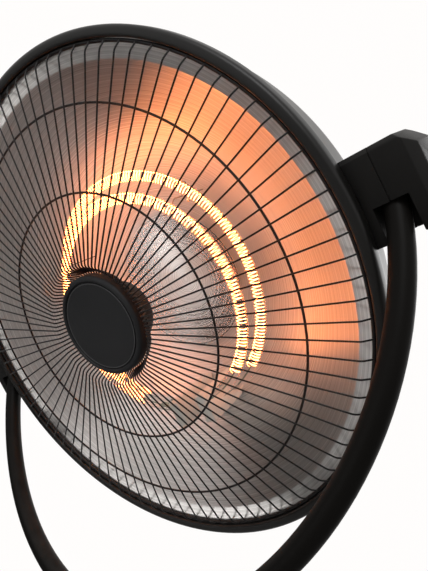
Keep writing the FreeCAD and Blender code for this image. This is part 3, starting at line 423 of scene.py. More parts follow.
def bent_rod(bm, path, radius, sides, bends, steps=4):
    """Push a round section along runs in the XZ plane, with a bend of its own radius at each corner."""
    points = [Vector((x, 0, z)) for x, z in path]
    runs = [b - a for a, b in zip(points, points[1:])]
    headings = [run.normalized() for run in runs]
    turns = [math.copysign(before.angle(after), before.cross(after).y)
             for before, after in zip(headings, headings[1:])]
    trims = [0] + [bend * math.tan(abs(turn) / 2) for bend, turn in zip(bends, turns)] + [0]
    aim = Matrix.Translation(points[0]) @ headings[0].to_track_quat("Z", "Y").to_matrix().to_4x4()
    verts = bmesh.ops.create_circle(bm, cap_ends=True, segments=sides, radius=radius, matrix=aim)["verts"]
    edges = ring_edges(verts)
    for i, (run, heading) in enumerate(zip(runs, headings)):
        pushed = bmesh.ops.extrude_edge_only(bm, edges=edges)["geom"]
        verts = of_type(pushed, bmesh.types.BMVert)
        edges = ring_edges(verts)
        bmesh.ops.translate(bm, verts=verts, vec=heading * (run.length - trims[i] - trims[i + 1]))
        if i < len(turns):
            side = Vector((0, 1, 0)).cross(heading) * math.copysign(bends[i], turns[i])
            middle = sum((vert.co for vert in verts), Vector()) / len(verts)
            bent = bmesh.ops.spin(bm, geom=verts + edges, cent=middle + side, axis=(0, 1, 0), angle=turns[i],
                                  steps=steps, use_duplicate=False)["geom_last"]
            verts = of_type(bent, bmesh.types.BMVert)
            edges = ring_edges(verts)
    bmesh.ops.contextual_create(bm, geom=edges)
    return bm


# %% Round the edges of a moulded piece
def round_edges(bm, edges, width, segments, clamped=False):
    bmesh.ops.bevel(bm, geom=edges, offset=width, offset_type="OFFSET", affect="EDGES", segments=segments,
                    profile=0.5, material=-1, clamp_overlap=clamped)


def rounded_box(sides, width, segments, place=Matrix()):
    """Block with rounded edges, with its middle at a place."""
    bm = bmesh.new()
    bmesh.ops.create_cube(bm, size=1, matrix=place @ Matrix.Diagonal((*sides, 1)))
    round_edges(bm, bm.edges[:], width, segments)
    return bm


def moulded(node, place, width, segments=3, least=40):
    """Copy of a plain solid on its drawing board, with its edges rounded."""
    bm = bmesh.new()
    bm.from_mesh(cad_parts[node].data)
    bmesh.ops.transform(bm, matrix=place.inverted(), verts=bm.verts)
    bmesh.ops.remove_doubles(bm, verts=bm.verts, dist=1e-3)
    bmesh.ops.dissolve_limit(bm, angle_limit=math.radians(1), verts=bm.verts, edges=bm.edges)
    limit = math.radians(least)
    corners = [edge for edge in bm.edges if edge.is_manifold and edge.calc_face_angle() > limit]
    round_edges(bm, corners, width, segments, clamped=True)
    return bm


# %% [markdown]
# ## The wire guard
# Thin wires run from the hub to the outer ring and are welded to two thin rings on the way. Each wire lies
# flat under the hub, rises over its edge, falls straight to the rim and dips to the ring. One wire is bent
# and copied round the axis with a spin that duplicates.

# %% Guard wires
GUARD_RADIUS = 250
WIRE_COUNT = 93
WIRE_RADIUS = 0.8
CROWN = (60, 43)
KNEE = (243, 9.2)
WIRE_PATH = [(44, 27), (52, 27), CROWN, KNEE, (GUARD_RADIUS, 2.62)]
WIRE_BENDS = (3, 5, 9)
bm = bent_rod(bmesh.new(), WIRE_PATH, WIRE_RADIUS, 8, WIRE_BENDS)
bmesh.ops.spin(bm, geom=bm.verts[:] + bm.edges[:] + bm.faces[:], cent=(0, 0, 0), axis=AXIS,
               angle=2 * math.pi * (WIRE_COUNT - 1) / WIRE_COUNT, steps=WIRE_COUNT - 1, use_duplicate=True)
settle(bm, "wires", "head", guard_paint, replaces=["guard_wires"], sharp=60)


# %% Guard rings
def wire_ring(radius, height, wire):
    """Ring of round wire about the axis of the dish."""
    bm = bmesh.new()
    stand_up = Matrix.Translation((radius, 0, height)) @ Matrix.Rotation(math.pi / 2, 4, "X")
    bmesh.ops.create_circle(bm, segments=10, radius=wire, matrix=stand_up)
    return spin_round(bm, 144)


THICK_RING = 1.8
THIN_RING = 1.1
RING_RADII = {"middle": 201.7, "inner": 126.5}
fall = (CROWN[1] - KNEE[1]) / (KNEE[0] - CROWN[0])
below = (WIRE_RADIUS + THIN_RING) * math.hypot(1, fall)
settle(wire_ring(GUARD_RADIUS, 0, THICK_RING), "outer_ring", "head", guard_paint, replaces=["guard_outer_ring"],
       sharp=60)
for ring, radius in RING_RADII.items():
    height = CROWN[1] - (radius - CROWN[0]) * fall - below
    settle(wire_ring(radius, height, THIN_RING), f"{ring}_ring", "head", guard_paint,
           replaces=[f"guard_{ring}_ring"], sharp=60)

# %% [markdown]
# ## The hub
# A thick moulded cap holds the feet of the wires from the front. Its face lies a little below a rounded ring,
# with a narrow groove between them. A paler bead runs along the edge of the face, and its pale colour is a
# painted highlight for the glint along that edge. A dark cup closes the hub from behind.

# %% Hub
cap = [(0, 28), (49.5, 28), (51, 29.5, 0.8), (51, 41, 4.0), (45.6, 41, 1.2), (45.0, 38.2, 0.4),
       (43.4, 38.2, 0.4), (43.0, 40, 0.7), (0, 40)]
settle(turned(cap), "hub_cap_moulded", "head", hub_plastic, replaces=["hub_cap"])
# The bead's pale colour is a painted highlight, the glint along the edge of the face.
settle(wire_ring(43.2, 39.7, 0.45), "hub_glint_bead", "head", glint_bead_plastic, sharp=60)
cup = [(0, -6), (30, -6, 4), (45.5, 26, 0.6), (43.5, 26, 0.6), (28.5, -4, 3), (0, -4)]
settle(turned(cup), "hub_cup_moulded", "head", cup_plastic, replaces=["hub_cup"])

# %% [markdown]
# ## The dish
# The reflector is a shallow part of a sphere with a step and a flat lip. The spun rings follow the UV map:
# one coordinate runs round the axis and the other along the profile.

# %% Dish
DISH_RADIUS = 236.3
DISH_DEPTH = 99
DISH_EDGE = 6
DISH_BANDS = 40
dish_round = (DISH_RADIUS ** 2 + DISH_DEPTH ** 2) / 2 / DISH_DEPTH


def dish_height(radius):
    """Height of the dish's bright face at a radius."""
    return dish_round - math.sqrt(dish_round ** 2 - radius ** 2) - DISH_EDGE - DISH_DEPTH


def rings_map(bm):
    """UV map that runs round the axis and along the radius."""
    uv = bm.loops.layers.uv.new("rings")
    for face in bm.faces:
        middle = face.calc_center_median()
        about = math.atan2(middle.y, middle.x)
        for loop in face.loops:
            spot = loop.vert.co
            turn = math.atan2(spot.y, spot.x) if spot.xy.length > 1e-6 else about
            turn += 2 * math.pi * round((about - turn) / (2 * math.pi))
            loop[uv].uv = (turn, math.hypot(spot.x, spot.y) * MM)
    return bm


SHEET = 1
radii = [DISH_RADIUS * k / DISH_BANDS for k in range(DISH_BANDS + 1)]
meridian = [(radius, dish_height(radius)) for radius in radii]
lip = [(248, -2.1, 1.5), (255, -2.1), (255, -3.1), (248, -3.1)]
back = [(radius, height - SHEET) for radius, height in meridian[::-1]]
dish = rings_map(turned(meridian + lip + back, steps=192))
settle(dish, "dish", "head", spun_metal, replaces=["reflector"], sharp=20)

# %% [markdown]
# ## The rim and the drum
# A rolled black band clasps the lip of the dish and the flange of the grey drum behind it. Three pressed
# beads stiffen the drum's back. They are extra points of the profile, so the same spin makes them.

# %% Rim and drum
rim = [(255.1, -2.0), (252.1, -2.0), (252.1, 5, 2.5), (262.1, 5, 4.5), (262.1, -10, 4.5), (252.1, -10, 0.8),
       (252.1, -4.5), (255.1, -4.5)]
settle(turned(rim, closed=True, steps=192), "rim", "head", rim_paint, replaces=["rim_band"])
drum_corner = (230, -84)
drum_floor = (76, -117)
back_fall = (drum_corner[1] - drum_floor[1]) / (drum_corner[0] - drum_floor[0])
BEAD_RADII = (196, 160, 124)
BEAD_WIDTH = 3
BEAD_HEIGHT = 1.3
BEAD_SHAPE = ((2, 0), (0.9, 1), (-0.9, 1), (-2, 0))
beads = []
for centre in BEAD_RADII:
    for step, rise in BEAD_SHAPE:
        radius = centre + step * BEAD_WIDTH
        height = drum_floor[1] + (radius - drum_floor[0]) * back_fall - rise * BEAD_HEIGHT
        beads.append((radius, height, 1.0))
drum_outside = [(255, -4.4), (251, -4.4), (250, -62, 9), (*drum_corner, 12), *beads, (*drum_floor, 9),
                (48, -117)]
drum_inside = [(48, -115.8), (76, -115.8, 8), (229.4, -82.8, 11), (248.8, -62, 8), (249.8, -3.2), (255, -3.2)]
settle(turned(drum_outside + drum_inside, closed=True, steps=192), "drum", "head", shell_paint,
       replaces=["back_shell"])

# %% [markdown]
# ## The lamps
# Each lamp is a quartz tube bent to a ring that is open at the bottom. Inside lies a coil. A straight coil
# is a round wire that is spun about its axis while it moves forward, and it is then bent round to the ring.
# The table gives each lamp's radius, its height on the head's board and how far its middle is moved in Y.

# %% Lamps
LAMPS = {"rear": (130.4, -42.6, 0.0), "front": (117.0, -24.8, -6.5)}
TUBE_RADIUS = 6
TUBE_BORE = 4.6
COIL_RADIUS = 2.9
COIL_WIRE = 0.21
COIL_PITCH = 3.4
COIL_STEPS = 12
COIL_END = math.radians(37)
POST_FACE = 27


def lamp_place(height, drop):
    return HEAD @ Matrix.Translation((0, drop, height))


def arc_tube(radius, start, section, steps):
    """Round sections swept about Z, from an angle counted from the bottom to the same on the other side."""
    bm = bmesh.new()
    for across in section:
        stand_up = Matrix.Translation((radius, 0, 0)) @ Matrix.Rotation(math.pi / 2, 4, "X")
        bmesh.ops.create_circle(bm, segments=16, radius=across, matrix=stand_up)
    first = bm.edges[:]
    sweep = 2 * math.pi - 2 * start
    last = bmesh.ops.spin(bm, geom=bm.verts[:] + first, cent=(0, 0, 0), axis=AXIS, angle=sweep, steps=steps,
                          use_duplicate=False)["geom_last"]
    for loops in (first, of_type(last, bmesh.types.BMEdge)):
        if len(section) > 1:
            bmesh.ops.bridge_loops(bm, edges=loops)
        else:
            bmesh.ops.contextual_create(bm, geom=loops)
    bmesh.ops.rotate(bm, verts=bm.verts, matrix=Matrix.Rotation(start - math.pi / 2, 3, "Z"))
    return bm


def coil_about(radius, start):
    """One turn of a coil along X, repeated by its pitch and bent round the Z axis."""
    bm = bmesh.new()
    length = radius * (2 * math.pi - 2 * start)
    turns = round(length / COIL_PITCH)
    pitch = length / turns
    section = Matrix.Translation((0, 0, COIL_RADIUS)) @ Matrix.Rotation(math.pi / 2, 4, "X")
    verts = bmesh.ops.create_circle(bm, segments=4, radius=COIL_WIRE, matrix=section)["verts"]
    bmesh.ops.spin(bm, geom=verts + ring_edges(verts), cent=(0, 0, 0), axis=(1, 0, 0), angle=2 * math.pi,
                   dvec=(pitch / COIL_STEPS, 0, 0), steps=COIL_STEPS, use_duplicate=False)
    bmesh.ops.spin(bm, geom=bm.verts[:] + bm.edges[:] + bm.faces[:], cent=(0, 0, 0), axis=(1, 0, 0), angle=0,
                   dvec=(pitch, 0, 0), steps=turns - 1, use_duplicate=True)
    for vert in bm.verts:
        along, across, height = vert.co
        turn = start - math.pi / 2 + along / radius
        vert.co = ((radius + across) * math.cos(turn), (radius + across) * math.sin(turn), height)
    bmesh.ops.holes_fill(bm, edges=bm.edges, sides=4)
    return bm


# %% [markdown]
# ## The ends of the lamps
# Quartz and metal grow differently when they get hot, so at each end the current crosses the seal in a thin
# foil with a lead wire on both sides. All three are short bars that are swept on the same circle as the tube.
# A sealed filling pip stands on the inside of the rear tube.

# %% Tubes, coils and lead wires
FOIL_START = math.radians(15.5)
FOIL_END = math.radians(24)
TUBE_GAP = 1.9
LEAD_GAP = 0.35
PIP_TURN = math.radians(34)


def arc_bar(corners, radius, start, end, steps):
    """Bar with a section of (across, height) corners, swept about Z between two angles from the bottom."""
    bm = bmesh.new()
    verts = [bm.verts.new((radius + across, 0, height)) for across, height in corners]
    bm.faces.new(verts)
    edges = bm.edges[:]
    last = bmesh.ops.spin(bm, geom=verts + edges, cent=(0, 0, 0), axis=AXIS, angle=end - start, steps=steps,
                          use_duplicate=False)["geom_last"]
    bmesh.ops.contextual_create(bm, geom=of_type(last, bmesh.types.BMEdge))
    bmesh.ops.rotate(bm, verts=bm.verts, matrix=Matrix.Rotation(start - math.pi / 2, 3, "Z"))
    return bm


def put_in(bm, other):
    """Add another bmesh to the first and let it go."""
    mesh = bpy.data.meshes.new("put_in")
    other.to_mesh(mesh)
    other.free()
    bm.from_mesh(mesh)
    bpy.data.meshes.remove(mesh)
    return bm


LEAD_RADIUS = 0.5
LEAD = [(LEAD_RADIUS * math.cos(k * math.pi / 3), LEAD_RADIUS * math.sin(k * math.pi / 3)) for k in range(6)]
FOIL = [(-0.15, -2.6), (0.15, -2.6), (0.15, 2.6), (-0.15, 2.6)]
for lamp, (radius, height, drop) in LAMPS.items():
    place = lamp_place(height, drop)
    tube_end = math.asin((POST_FACE + TUBE_GAP) / radius)
    lead_end = math.asin((POST_FACE + LEAD_GAP) / radius)
    glass = arc_tube(radius, tube_end, (TUBE_RADIUS, TUBE_BORE), 120)
    if lamp == "rear":
        pip = turned([(0, -1.5), (1.9, -1.5), (1.9, 1.2, 0.5), (0.9, 3.2, 0.6), (0, 3.6)], steps=16)
        inward = Matrix.Rotation(PIP_TURN, 4, "Z") @ Matrix.Translation((radius - TUBE_RADIUS, 0, 0))
        bmesh.ops.transform(pip, matrix=inward @ Matrix.Rotation(-math.pi / 2, 4, "Y"), verts=pip.verts)
        put_in(glass, pip)
    settle(glass, f"{lamp}_quartz", "head", quartz, place, replaces=[f"{lamp}_lamp_tube"])
    settle(coil_about(radius, COIL_END), f"{lamp}_coil", "head", glowing_coil, place,
           replaces=[f"{lamp}_lamp_coil"], sharp=80)
    leads = bmesh.new()
    for near, far, section in ((lead_end, FOIL_START, LEAD), (FOIL_START, FOIL_END, FOIL),
                               (FOIL_END, COIL_END, LEAD)):
        put_in(leads, arc_bar(section, radius, near, far, 8))
        put_in(leads, arc_bar(section, radius, 2 * math.pi - far, 2 * math.pi - near, 8))
    settle(leads, f"{lamp}_leads", "head", lead_metal, place, replaces=[f"{lamp}_lamp_leads"])

# %% [markdown]
# ## What carries the lamps
# Two ceramic posts stand at the bottom of the dish and hold the ends of the tubes. Higher up, thin steel
# hooks rise from the dish between the two tubes and carry them.

# %% Posts and hooks
posts = moulded("lamp_end_posts", HEAD, 1.6, least=25)
settle(posts, "ceramic_posts", "head", lamp_ceramic, replaces=["lamp_end_posts"])
HOOK_WIRE = 0.7
HOOK_BENDS = (2.5, 3.5, 3.0)
HOOK_TURNS = (38.5, 141.5)
rear_radius, rear_height, _ = LAMPS["rear"]
front_radius, front_height, front_drop = LAMPS["front"]
hooks = bmesh.new()
for turn in HOOK_TURNS:
    front_at = front_radius + front_drop * math.sin(math.radians(turn))
    stem = (front_at + rear_radius) / 2
    foot = dish_height(stem) + 0.3
    below = TUBE_RADIUS + HOOK_WIRE + 0.1
    rear_hook = [(stem, foot), (stem, rear_height - below), (rear_radius + 1, rear_height - below),
                 (rear_radius + below, rear_height - 1), (rear_radius + below, rear_height + 4)]
    front_hook = [(stem, rear_height - below - 1), (stem, front_height - below),
                  (front_at - 1, front_height - below), (front_at - below, front_height - 1),
                  (front_at - below, front_height + 3)]
    for route in (rear_hook, front_hook):
        wire = bent_rod(bmesh.new(), route, HOOK_WIRE, 8, HOOK_BENDS)
        bmesh.ops.rotate(wire, verts=wire.verts, matrix=Matrix.Rotation(math.radians(turn), 3, "Z"))
        put_in(hooks, wire)
settle(hooks, "lamp_hooks", "head", clip_steel, replaces=["lamp_clips"], sharp=60)

# %% [markdown]
# ## Screws
# A socket screw has a turned head with rounded edges and a six-sided recess. The same screw, in several
# sizes, holds the brackets, the yoke clamp, the rear housing and the base.


# %% Screw heads
def screw_head(place, radius, height):
    """Turned head that stands on the XY plane of its place, with a six-sided socket."""
    socket = radius * 0.55
    bm = turned([(socket * 1.2, height), (radius, height, radius * 0.18), (radius, 0)], steps=24)
    mouth = [edge for edge in bm.edges if edge.is_boundary and edge.verts[0].co.z > height / 2]
    top = Matrix.Translation((0, 0, height))
    hexagon = bmesh.ops.create_circle(bm, segments=6, radius=socket, matrix=top)["verts"]
    walls = ring_edges(hexagon)
    bmesh.ops.bridge_loops(bm, edges=mouth + walls)
    sunk = bmesh.ops.extrude_edge_only(bm, edges=walls)["geom"]
    floor_verts = of_type(sunk, bmesh.types.BMVert)
    bmesh.ops.translate(bm, verts=floor_verts, vec=(0, 0, -height * 0.6))
    bmesh.ops.contextual_create(bm, geom=ring_edges(floor_verts))
    bmesh.ops.transform(bm, matrix=place, verts=bm.verts)
    return bm


def screws(name, body, material, places, radius, height, board):
    """One piece of equal screws."""
    bm = bmesh.new()
    for place in places:
        put_in(bm, screw_head(place, radius, height))
    return settle(bm, name, body, material, board)


def facing(x, y, z, direction):
    """Place at a point whose Z axis looks along a direction."""
    return Matrix.Translation((x, y, z)) @ Vector(direction).to_track_quat("Z", "Y").to_matrix().to_4x4()


# %% [markdown]
# ## The pivot brackets
# Each bracket is moulded in two halves that close round the end of the yoke. The parting line between them
# stays visible as a fine gap between rounded edges.

# %% Brackets
for side in ("right", "left"):
    for half in ("inner", "outer"):
        node = f"bracket_{half}_{side}"
        settle(moulded(node, HEAD, 1.0), f"{node}_moulded", "head", bracket_plastic, replaces=[node])
BRACKET_END = 313
BRACKET_BACK = -52
COVER_SCREWS_X = (258, 304)
COVER_SCREWS_Y = 20
bolts = bmesh.new()
for sign in (1, -1):
    put_in(bolts, screw_head(facing(sign * (BRACKET_END - 5.2), 0, -PIVOT_DEPTH, (sign, 0, 0)), 7, 4.9))
settle(bolts, "pivot_bolt_heads", "head", bolt_steel, replaces=["pivot_bolts"])
cover_places = [facing(sign * x, COVER_SCREWS_Y, BRACKET_BACK + 0.1, (0, 0, -1))
                for sign in (1, -1) for x in COVER_SCREWS_X]
screws("bracket_screws", "head", screw_black, cover_places, 3.2, 2.0, HEAD)

# %% [markdown]
# ## The rear housing
# A moulded cup on the back of the drum covers the terminals and the switch. Four screws hold it, a dial with
# plain marks surrounds the selector, and a gland sits in its lower wall.

# %% Rear housing
settle(moulded("rear_housing", HEAD, 3.0, segments=4), "housing_cover", "head", bracket_plastic,
       replaces=["rear_housing"])
HOUSING_BACK = -163
CORNER_X = (-48, 48)
CORNER_Y = (-44, 32)
corner_places = [facing(x, y, HOUSING_BACK + 0.9, (0, 0, -1)) for x in CORNER_X for y in CORNER_Y]
screws("housing_screws", "head", screw_black, corner_places, 3.4, 2.2, HEAD)
settle(moulded("cord_gland", HEAD, 0.8), "gland_nut", "head", gland_plastic, replaces=["cord_gland"])
SELECTOR_Y = 10
MARK_RADIUS = 26.5
dial = bmesh.new()
put_in(dial, turned([(20.5, 0.3), (20.5, -0.7, 0.3), (22.5, -0.7, 0.3), (22.5, 0.3)], closed=True, steps=72))
for turn in range(0, 181, 60):
    mark = rounded_box((5, 1.1, 1.2), 0.25, 2)
    out = Matrix.Rotation(math.radians(90 + turn), 4, "Z") @ Matrix.Translation((MARK_RADIUS, 0, -0.1))
    bmesh.ops.transform(mark, matrix=out, verts=mark.verts)
    put_in(dial, mark)
bmesh.ops.translate(dial, verts=dial.verts, vec=(0, SELECTOR_Y, HOUSING_BACK))
settle(dial, "selector_dial", "head", mark_paint)

# %% [markdown]
# ## The selector knob
# A low turned disc with a ridge across it, which the fingers hold. A pale line on the ridge shows where the
# knob stands. The knob turns on its own, so all of it rides on the knob's body and not on the head.

# %% Selector knob
grip = turned([(0, 0), (16.5, 0), (18, -1.2, 0.5), (17, -7.4, 1.2), (13, -7.6, 0.6), (0, -7.6)], steps=72)
put_in(grip, rounded_box((5.0, 33.5, 8.9), 1.2, 3, Matrix.Translation((0, 0, -10.5))))
bmesh.ops.translate(grip, verts=grip.verts, vec=(0, SELECTOR_Y, HOUSING_BACK - 0.4))
settle(grip, "selector_grip", "selector_knob", switch_plastic, replaces=["selector_knob"])
on_ridge = Matrix.Translation((0, SELECTOR_Y + 10, HOUSING_BACK - 15.3))
pointer = rounded_box((1.1, 10, 0.4), 0.12, 2, on_ridge)
settle(pointer, "selector_pointer", "selector_knob", mark_paint)

# %% [markdown]
# ## The yoke
# The yoke is one steel tube bent to a half circle, with a straight leg and a round knuckle at each end. A
# clamp of two halves holds it on the pole.

# %% Yoke
YOKE_RADIUS = 282
YOKE_TUBE = 9.5
YOKE_LEG = 8
yoke_top = PIVOT_HEIGHT - 6
yoke_low = PIVOT_HEIGHT - YOKE_LEG - YOKE_RADIUS
yoke_bend = YOKE_RADIUS - 0.01
yoke_path = [(YOKE_RADIUS, yoke_top), (YOKE_RADIUS, yoke_low),
             (-YOKE_RADIUS, yoke_low), (-YOKE_RADIUS, yoke_top)]
bm = bent_rod(bmesh.new(), yoke_path, YOKE_TUBE, 32, (yoke_bend, yoke_bend), steps=40)
for side in (1, -1):
    knuckle = turned([(4.06, -12.9), (12, -12.9, 1.2), (12, 12.9, 1.2), (4.06, 12.9)], closed=True, steps=48)
    across = Matrix.Translation((side * YOKE_RADIUS, 0, PIVOT_HEIGHT)) @ Matrix.Rotation(math.pi / 2, 4, "Y")
    bmesh.ops.transform(knuckle, matrix=across, verts=knuckle.verts)
    put_in(bm, knuckle)
settle(bm, "yoke", "mast", stand_paint, STAND, replaces=["yoke_tube"], sharp=40)

# %% [markdown]
# ## The yoke clamp
# Two halves close round the lowest point of the yoke, and four screws pull them together. The cap keeps the
# cut of the plain solid. The lower half is a block with a turned neck that takes the end of the pole.

# %% Yoke clamp
CLAMP_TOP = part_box("yoke_clamp_cap")[1].z / MM
BLOCK_LOW = 1366.45
CLAMP_SCREWS_X = (-34, 34)
CLAMP_SCREWS_Y = (-14.5, 14.5)
settle(moulded("yoke_clamp_cap", STAND, 2.4), "clamp_cap", "mast", stand_paint, STAND,
       replaces=["yoke_clamp_cap"])
base_low, base_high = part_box("yoke_clamp_base")
neck_low, split = base_low.z / MM, base_high.z / MM
block_middle = Matrix.Translation((0, 0, (BLOCK_LOW + split) / 2))
block = rounded_box((92, 42, split - BLOCK_LOW), 2.4, 3, block_middle)
neck = [(14.1, neck_low), (20, neck_low, 1.5), (20, BLOCK_LOW - 3), (23, BLOCK_LOW, 2.0)]
put_in(block, turned(neck, steps=64))
settle(block, "clamp_block", "mast", stand_paint, STAND, replaces=["yoke_clamp_base"])
clamp_places = [Matrix.Translation((x, y, CLAMP_TOP - 0.1)) for x in CLAMP_SCREWS_X for y in CLAMP_SCREWS_Y]
screws("clamp_screws", "mast", screw_black, clamp_places, 4.6, 4, STAND)

# %% [markdown]
# ## The poles
# The upper pole slides in the lower one. Both are plain tubes with softly rounded ends. The upper one has a
# wider guide at its foot, which fills the bore of the lower one.

# %% Poles
upper_low, upper_high = (corner.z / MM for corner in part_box("upper_pole"))
lower_low, lower_high = (corner.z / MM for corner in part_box("lower_pole"))
upper = [(12.5, upper_low), (17.4, upper_low, 1), (17.4, upper_low + 40, 1), (14, upper_low + 40),
         (14, upper_high, 0.5), (12.5, upper_high)]
settle(turned(upper, closed=True, steps=64), "upper_tube", "mast", pole_metal, STAND, replaces=["upper_pole"])
lower = [(17.5, lower_low), (19, lower_low), (19, lower_high, 0.5), (17.5, lower_high)]
settle(turned(lower, closed=True, steps=64), "lower_tube", "stand", stand_paint, STAND, replaces=["lower_pole"])

# %% [markdown]
# ## The collar
# The collar sits on the end of the lower pole and narrows to the upper one. A shallow groove runs round it,
# and a turned boss at the back takes the stud of the clamp knob.

# %% Collar
COLLAR_LOW = 846
COLLAR_HIGH = 922
CLAMP_HEIGHT = 901
collar = [(19.1, COLLAR_LOW), (27, COLLAR_LOW, 2.5), (27, COLLAR_HIGH - 14, 1.0),
          (25.2, COLLAR_HIGH - 13, 0.8), (25.2, COLLAR_HIGH - 11, 0.8), (27, COLLAR_HIGH - 10, 1.0),
          (27, COLLAR_HIGH, 4), (14.15, COLLAR_HIGH, 1), (14.15, COLLAR_HIGH - 30), (19.1, COLLAR_HIGH - 40)]
bm = turned(collar, closed=True, steps=64)
boss = turned([(11, 20), (11, 40, 1.5), (4.3, 40, 0.5), (4.3, 36)], steps=40)
to_back = Matrix.Translation((0, 0, CLAMP_HEIGHT)) @ Matrix.Rotation(-math.pi / 2, 4, "X")
bmesh.ops.transform(boss, matrix=to_back, verts=boss.verts)
put_in(bm, boss)
settle(bm, "collar", "stand", bracket_plastic, STAND, replaces=["height_collar"])

# %% [markdown]
# ## The clamp knob
# A star knob with six lobes. A circle is pulled out and in by a wave, pushed up to the knob's height, and
# only its two sharp rims are rounded, so that the lobes stay smooth.

# %% Clamp knob
LOBES = 6
KNOB_RADIUS = 20
LOBE_HEIGHT = 2
KNOB_HEIGHT = 18
knob = bmesh.new()
outline = bmesh.ops.create_circle(knob, cap_ends=True, segments=72, radius=KNOB_RADIUS)["verts"]
for vert in outline:
    turn = math.atan2(vert.co.y, vert.co.x)
    vert.co *= (KNOB_RADIUS + LOBE_HEIGHT * math.cos(LOBES * turn)) / KNOB_RADIUS
pushed = bmesh.ops.extrude_face_region(knob, geom=knob.faces[:])["geom"]
bmesh.ops.translate(knob, verts=of_type(pushed, bmesh.types.BMVert), vec=(0, 0, KNOB_HEIGHT))
rims = [edge for edge in knob.edges if len(edge.link_faces) == 2 and edge.calc_face_angle() > 1]
round_edges(knob, rims, 3, 4)
bmesh.ops.transform(knob, matrix=to_back @ Matrix.Translation((0, 0, 41)), verts=knob.verts)
settle(knob, "knob", "clamp_knob", bracket_plastic, STAND, replaces=["clamp_knob"])

# %% [markdown]
# ## The base
# A pressed cover lies over the heavy plate, and the pole stands in a flanged socket that is bolted through.
# Five rubber feet carry the plate. Everything here is round, so profiles and spins make all of it.

# %% Base
BOLT_CIRCLE = 37.5
FLANGE_TOP = 35.6
FOOT_CIRCLE = 218
FEET = 5
cover = [(248.5, 7), (250, 7), (250, 16, 6), (70, 31, 40), (48.8, 31), (48.8, 29.5), (70, 29.5, 40),
         (248.5, 14.5, 6)]
settle(turned(cover, closed=True, steps=192), "cover", "stand", base_paint, STAND, replaces=["base_cover"])
socket = [(19.1, 22), (19.1, 106, 0.5), (26, 106, 2.5), (26, 40, 8), (48, 36, 3), (48, 14), (0, 14)]
settle(turned(socket), "socket", "stand", stand_paint, STAND, replaces=["pole_socket"])
bolt_places = [Matrix.Translation((BOLT_CIRCLE * math.cos(turn), BOLT_CIRCLE * math.sin(turn), FLANGE_TOP))
               for turn in (math.radians(45 + 90 * k) for k in range(4))]
screws("socket_bolts", "stand", screw_black, bolt_places, 4.6, 4, STAND)
feet = bmesh.new()
for k in range(FEET):
    turn = 2 * math.pi * k / FEET + math.pi / 2
    foot = turned([(0, 0), (13, 0, 1), (14, 4, 0.5), (14, 6), (0, 6)], steps=32)
    under = (FOOT_CIRCLE * math.cos(turn), FOOT_CIRCLE * math.sin(turn), 0)
    bmesh.ops.translate(foot, verts=foot.verts, vec=under)
    put_in(feet, foot)
settle(feet, "feet", "stand", foot_rubber, STAND, replaces=["rubber_feet"])

# %% [markdown]
# ## Solids that stay
# A few pieces inside the housing, the stud and the plate under the cover are right as plain solids. They are
# hardly seen, so they keep their shape and only get a finish.

# %% Finishes of the solids that stay as they are
for node, material in (("inner_wiring", wire_insulation), ("terminal_block", terminal_plastic),
                       ("tip_switch", switch_plastic), ("thermal_cutout", bolt_steel),
                       ("selector_switch", switch_plastic), ("clamp_stud", bolt_steel),
                       ("base_plate", base_paint)):
    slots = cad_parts[node].data.materials
    slots.clear()
    slots.append(material)
print("solids kept:", [name for name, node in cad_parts.items() if not node.hide_render])

# %% [markdown]
# ## The stage
# The heater stands on a pale floor. Near the heater the floor is plain paint that takes its shadow, and
# farther off it fades to white, so there is no horizon. Light Path tells what the camera, mirrors and glass
# see from the light that falls on the object, which the fade leaves alone.


# %% Floor
def stage_sheet(name, place, width, depth, material):
    """Flat sheet on the stage; its place and its sides are in metres."""
    bm = bmesh.new()
    bmesh.ops.create_grid(bm, x_segments=1, y_segments=1, size=0.5,
                          matrix=place @ Matrix.Diagonal((width, depth, 1, 1)))
    mesh = bpy.data.meshes.new(name)
    bm.to_mesh(mesh)
    bm.free()
    mesh.materials.append(material)
    sheet = bpy.data.objects.new(name, mesh)
    bpy.context.scene.collection.objects.link(sheet)
    return sheet


def seen_directly(nodes, links):
    """One for camera, glossy and transmission rays."""
    path = nodes.new("ShaderNodeLightPath")
    seen = maths(nodes, "MAXIMUM")
    shown = maths(nodes, "MAXIMUM")
    wire_up(links, (path, "Is Camera Ray", seen, 0), (path, "Is Glossy Ray", seen, 1), (seen, 0, shown, 0),
            (path, "Is Transmission Ray", shown, 1))
    return shown.outputs[0]


WHITE = (1.0, 0.985, 0.975, 1)
FADE_START = 1.2
FADE_END = 5.0
FLOOR_SIDE = 24
floor_paint, nodes, links, surface = new_material("floor_paint")
give(surface, {"Base Color": (0.72, 0.71, 0.70, 1), "Specular IOR Level": 0.0})
fine = place_group(floor_paint, grain_group, Scale=60.0, Gloss=0.6, Spread=0.1)
wire_up(links, (fine, "Roughness", surface, "Roughness"))
where = nodes.new("ShaderNodeTexCoord")
away = nodes.new("ShaderNodeVectorMath")
away.operation = "LENGTH"
fade = nodes.new("ShaderNodeMapRange")
fade.interpolation_type = "SMOOTHSTEP"
give(fade, {"From Min": FADE_START, "From Max": FADE_END})
share = maths(nodes, "MULTIPLY")
glow = nodes.new("ShaderNodeEmission")
glow.inputs["Color"].default_value = WHITE
merge = nodes.new("ShaderNodeMixShader")
wire_up(links, (where, "Object", away, 0), (away, "Value", fade, "Value"), (fade, "Result", share, 0))
links.new(seen_directly(nodes, links), share.inputs[1])
wire_up(links, (share, 0, merge, "Fac"), (surface, "BSDF", merge, 1), (glow, "Emission", merge, 2))
links.new(merge.outputs["Shader"], nodes["Material Output"].inputs["Surface"])
stage_sheet("floor", Matrix(), FLOOR_SIDE, FLOOR_SIDE, floor_paint)
print("floor fades from", FADE_START, "to", FADE_END, "metres")

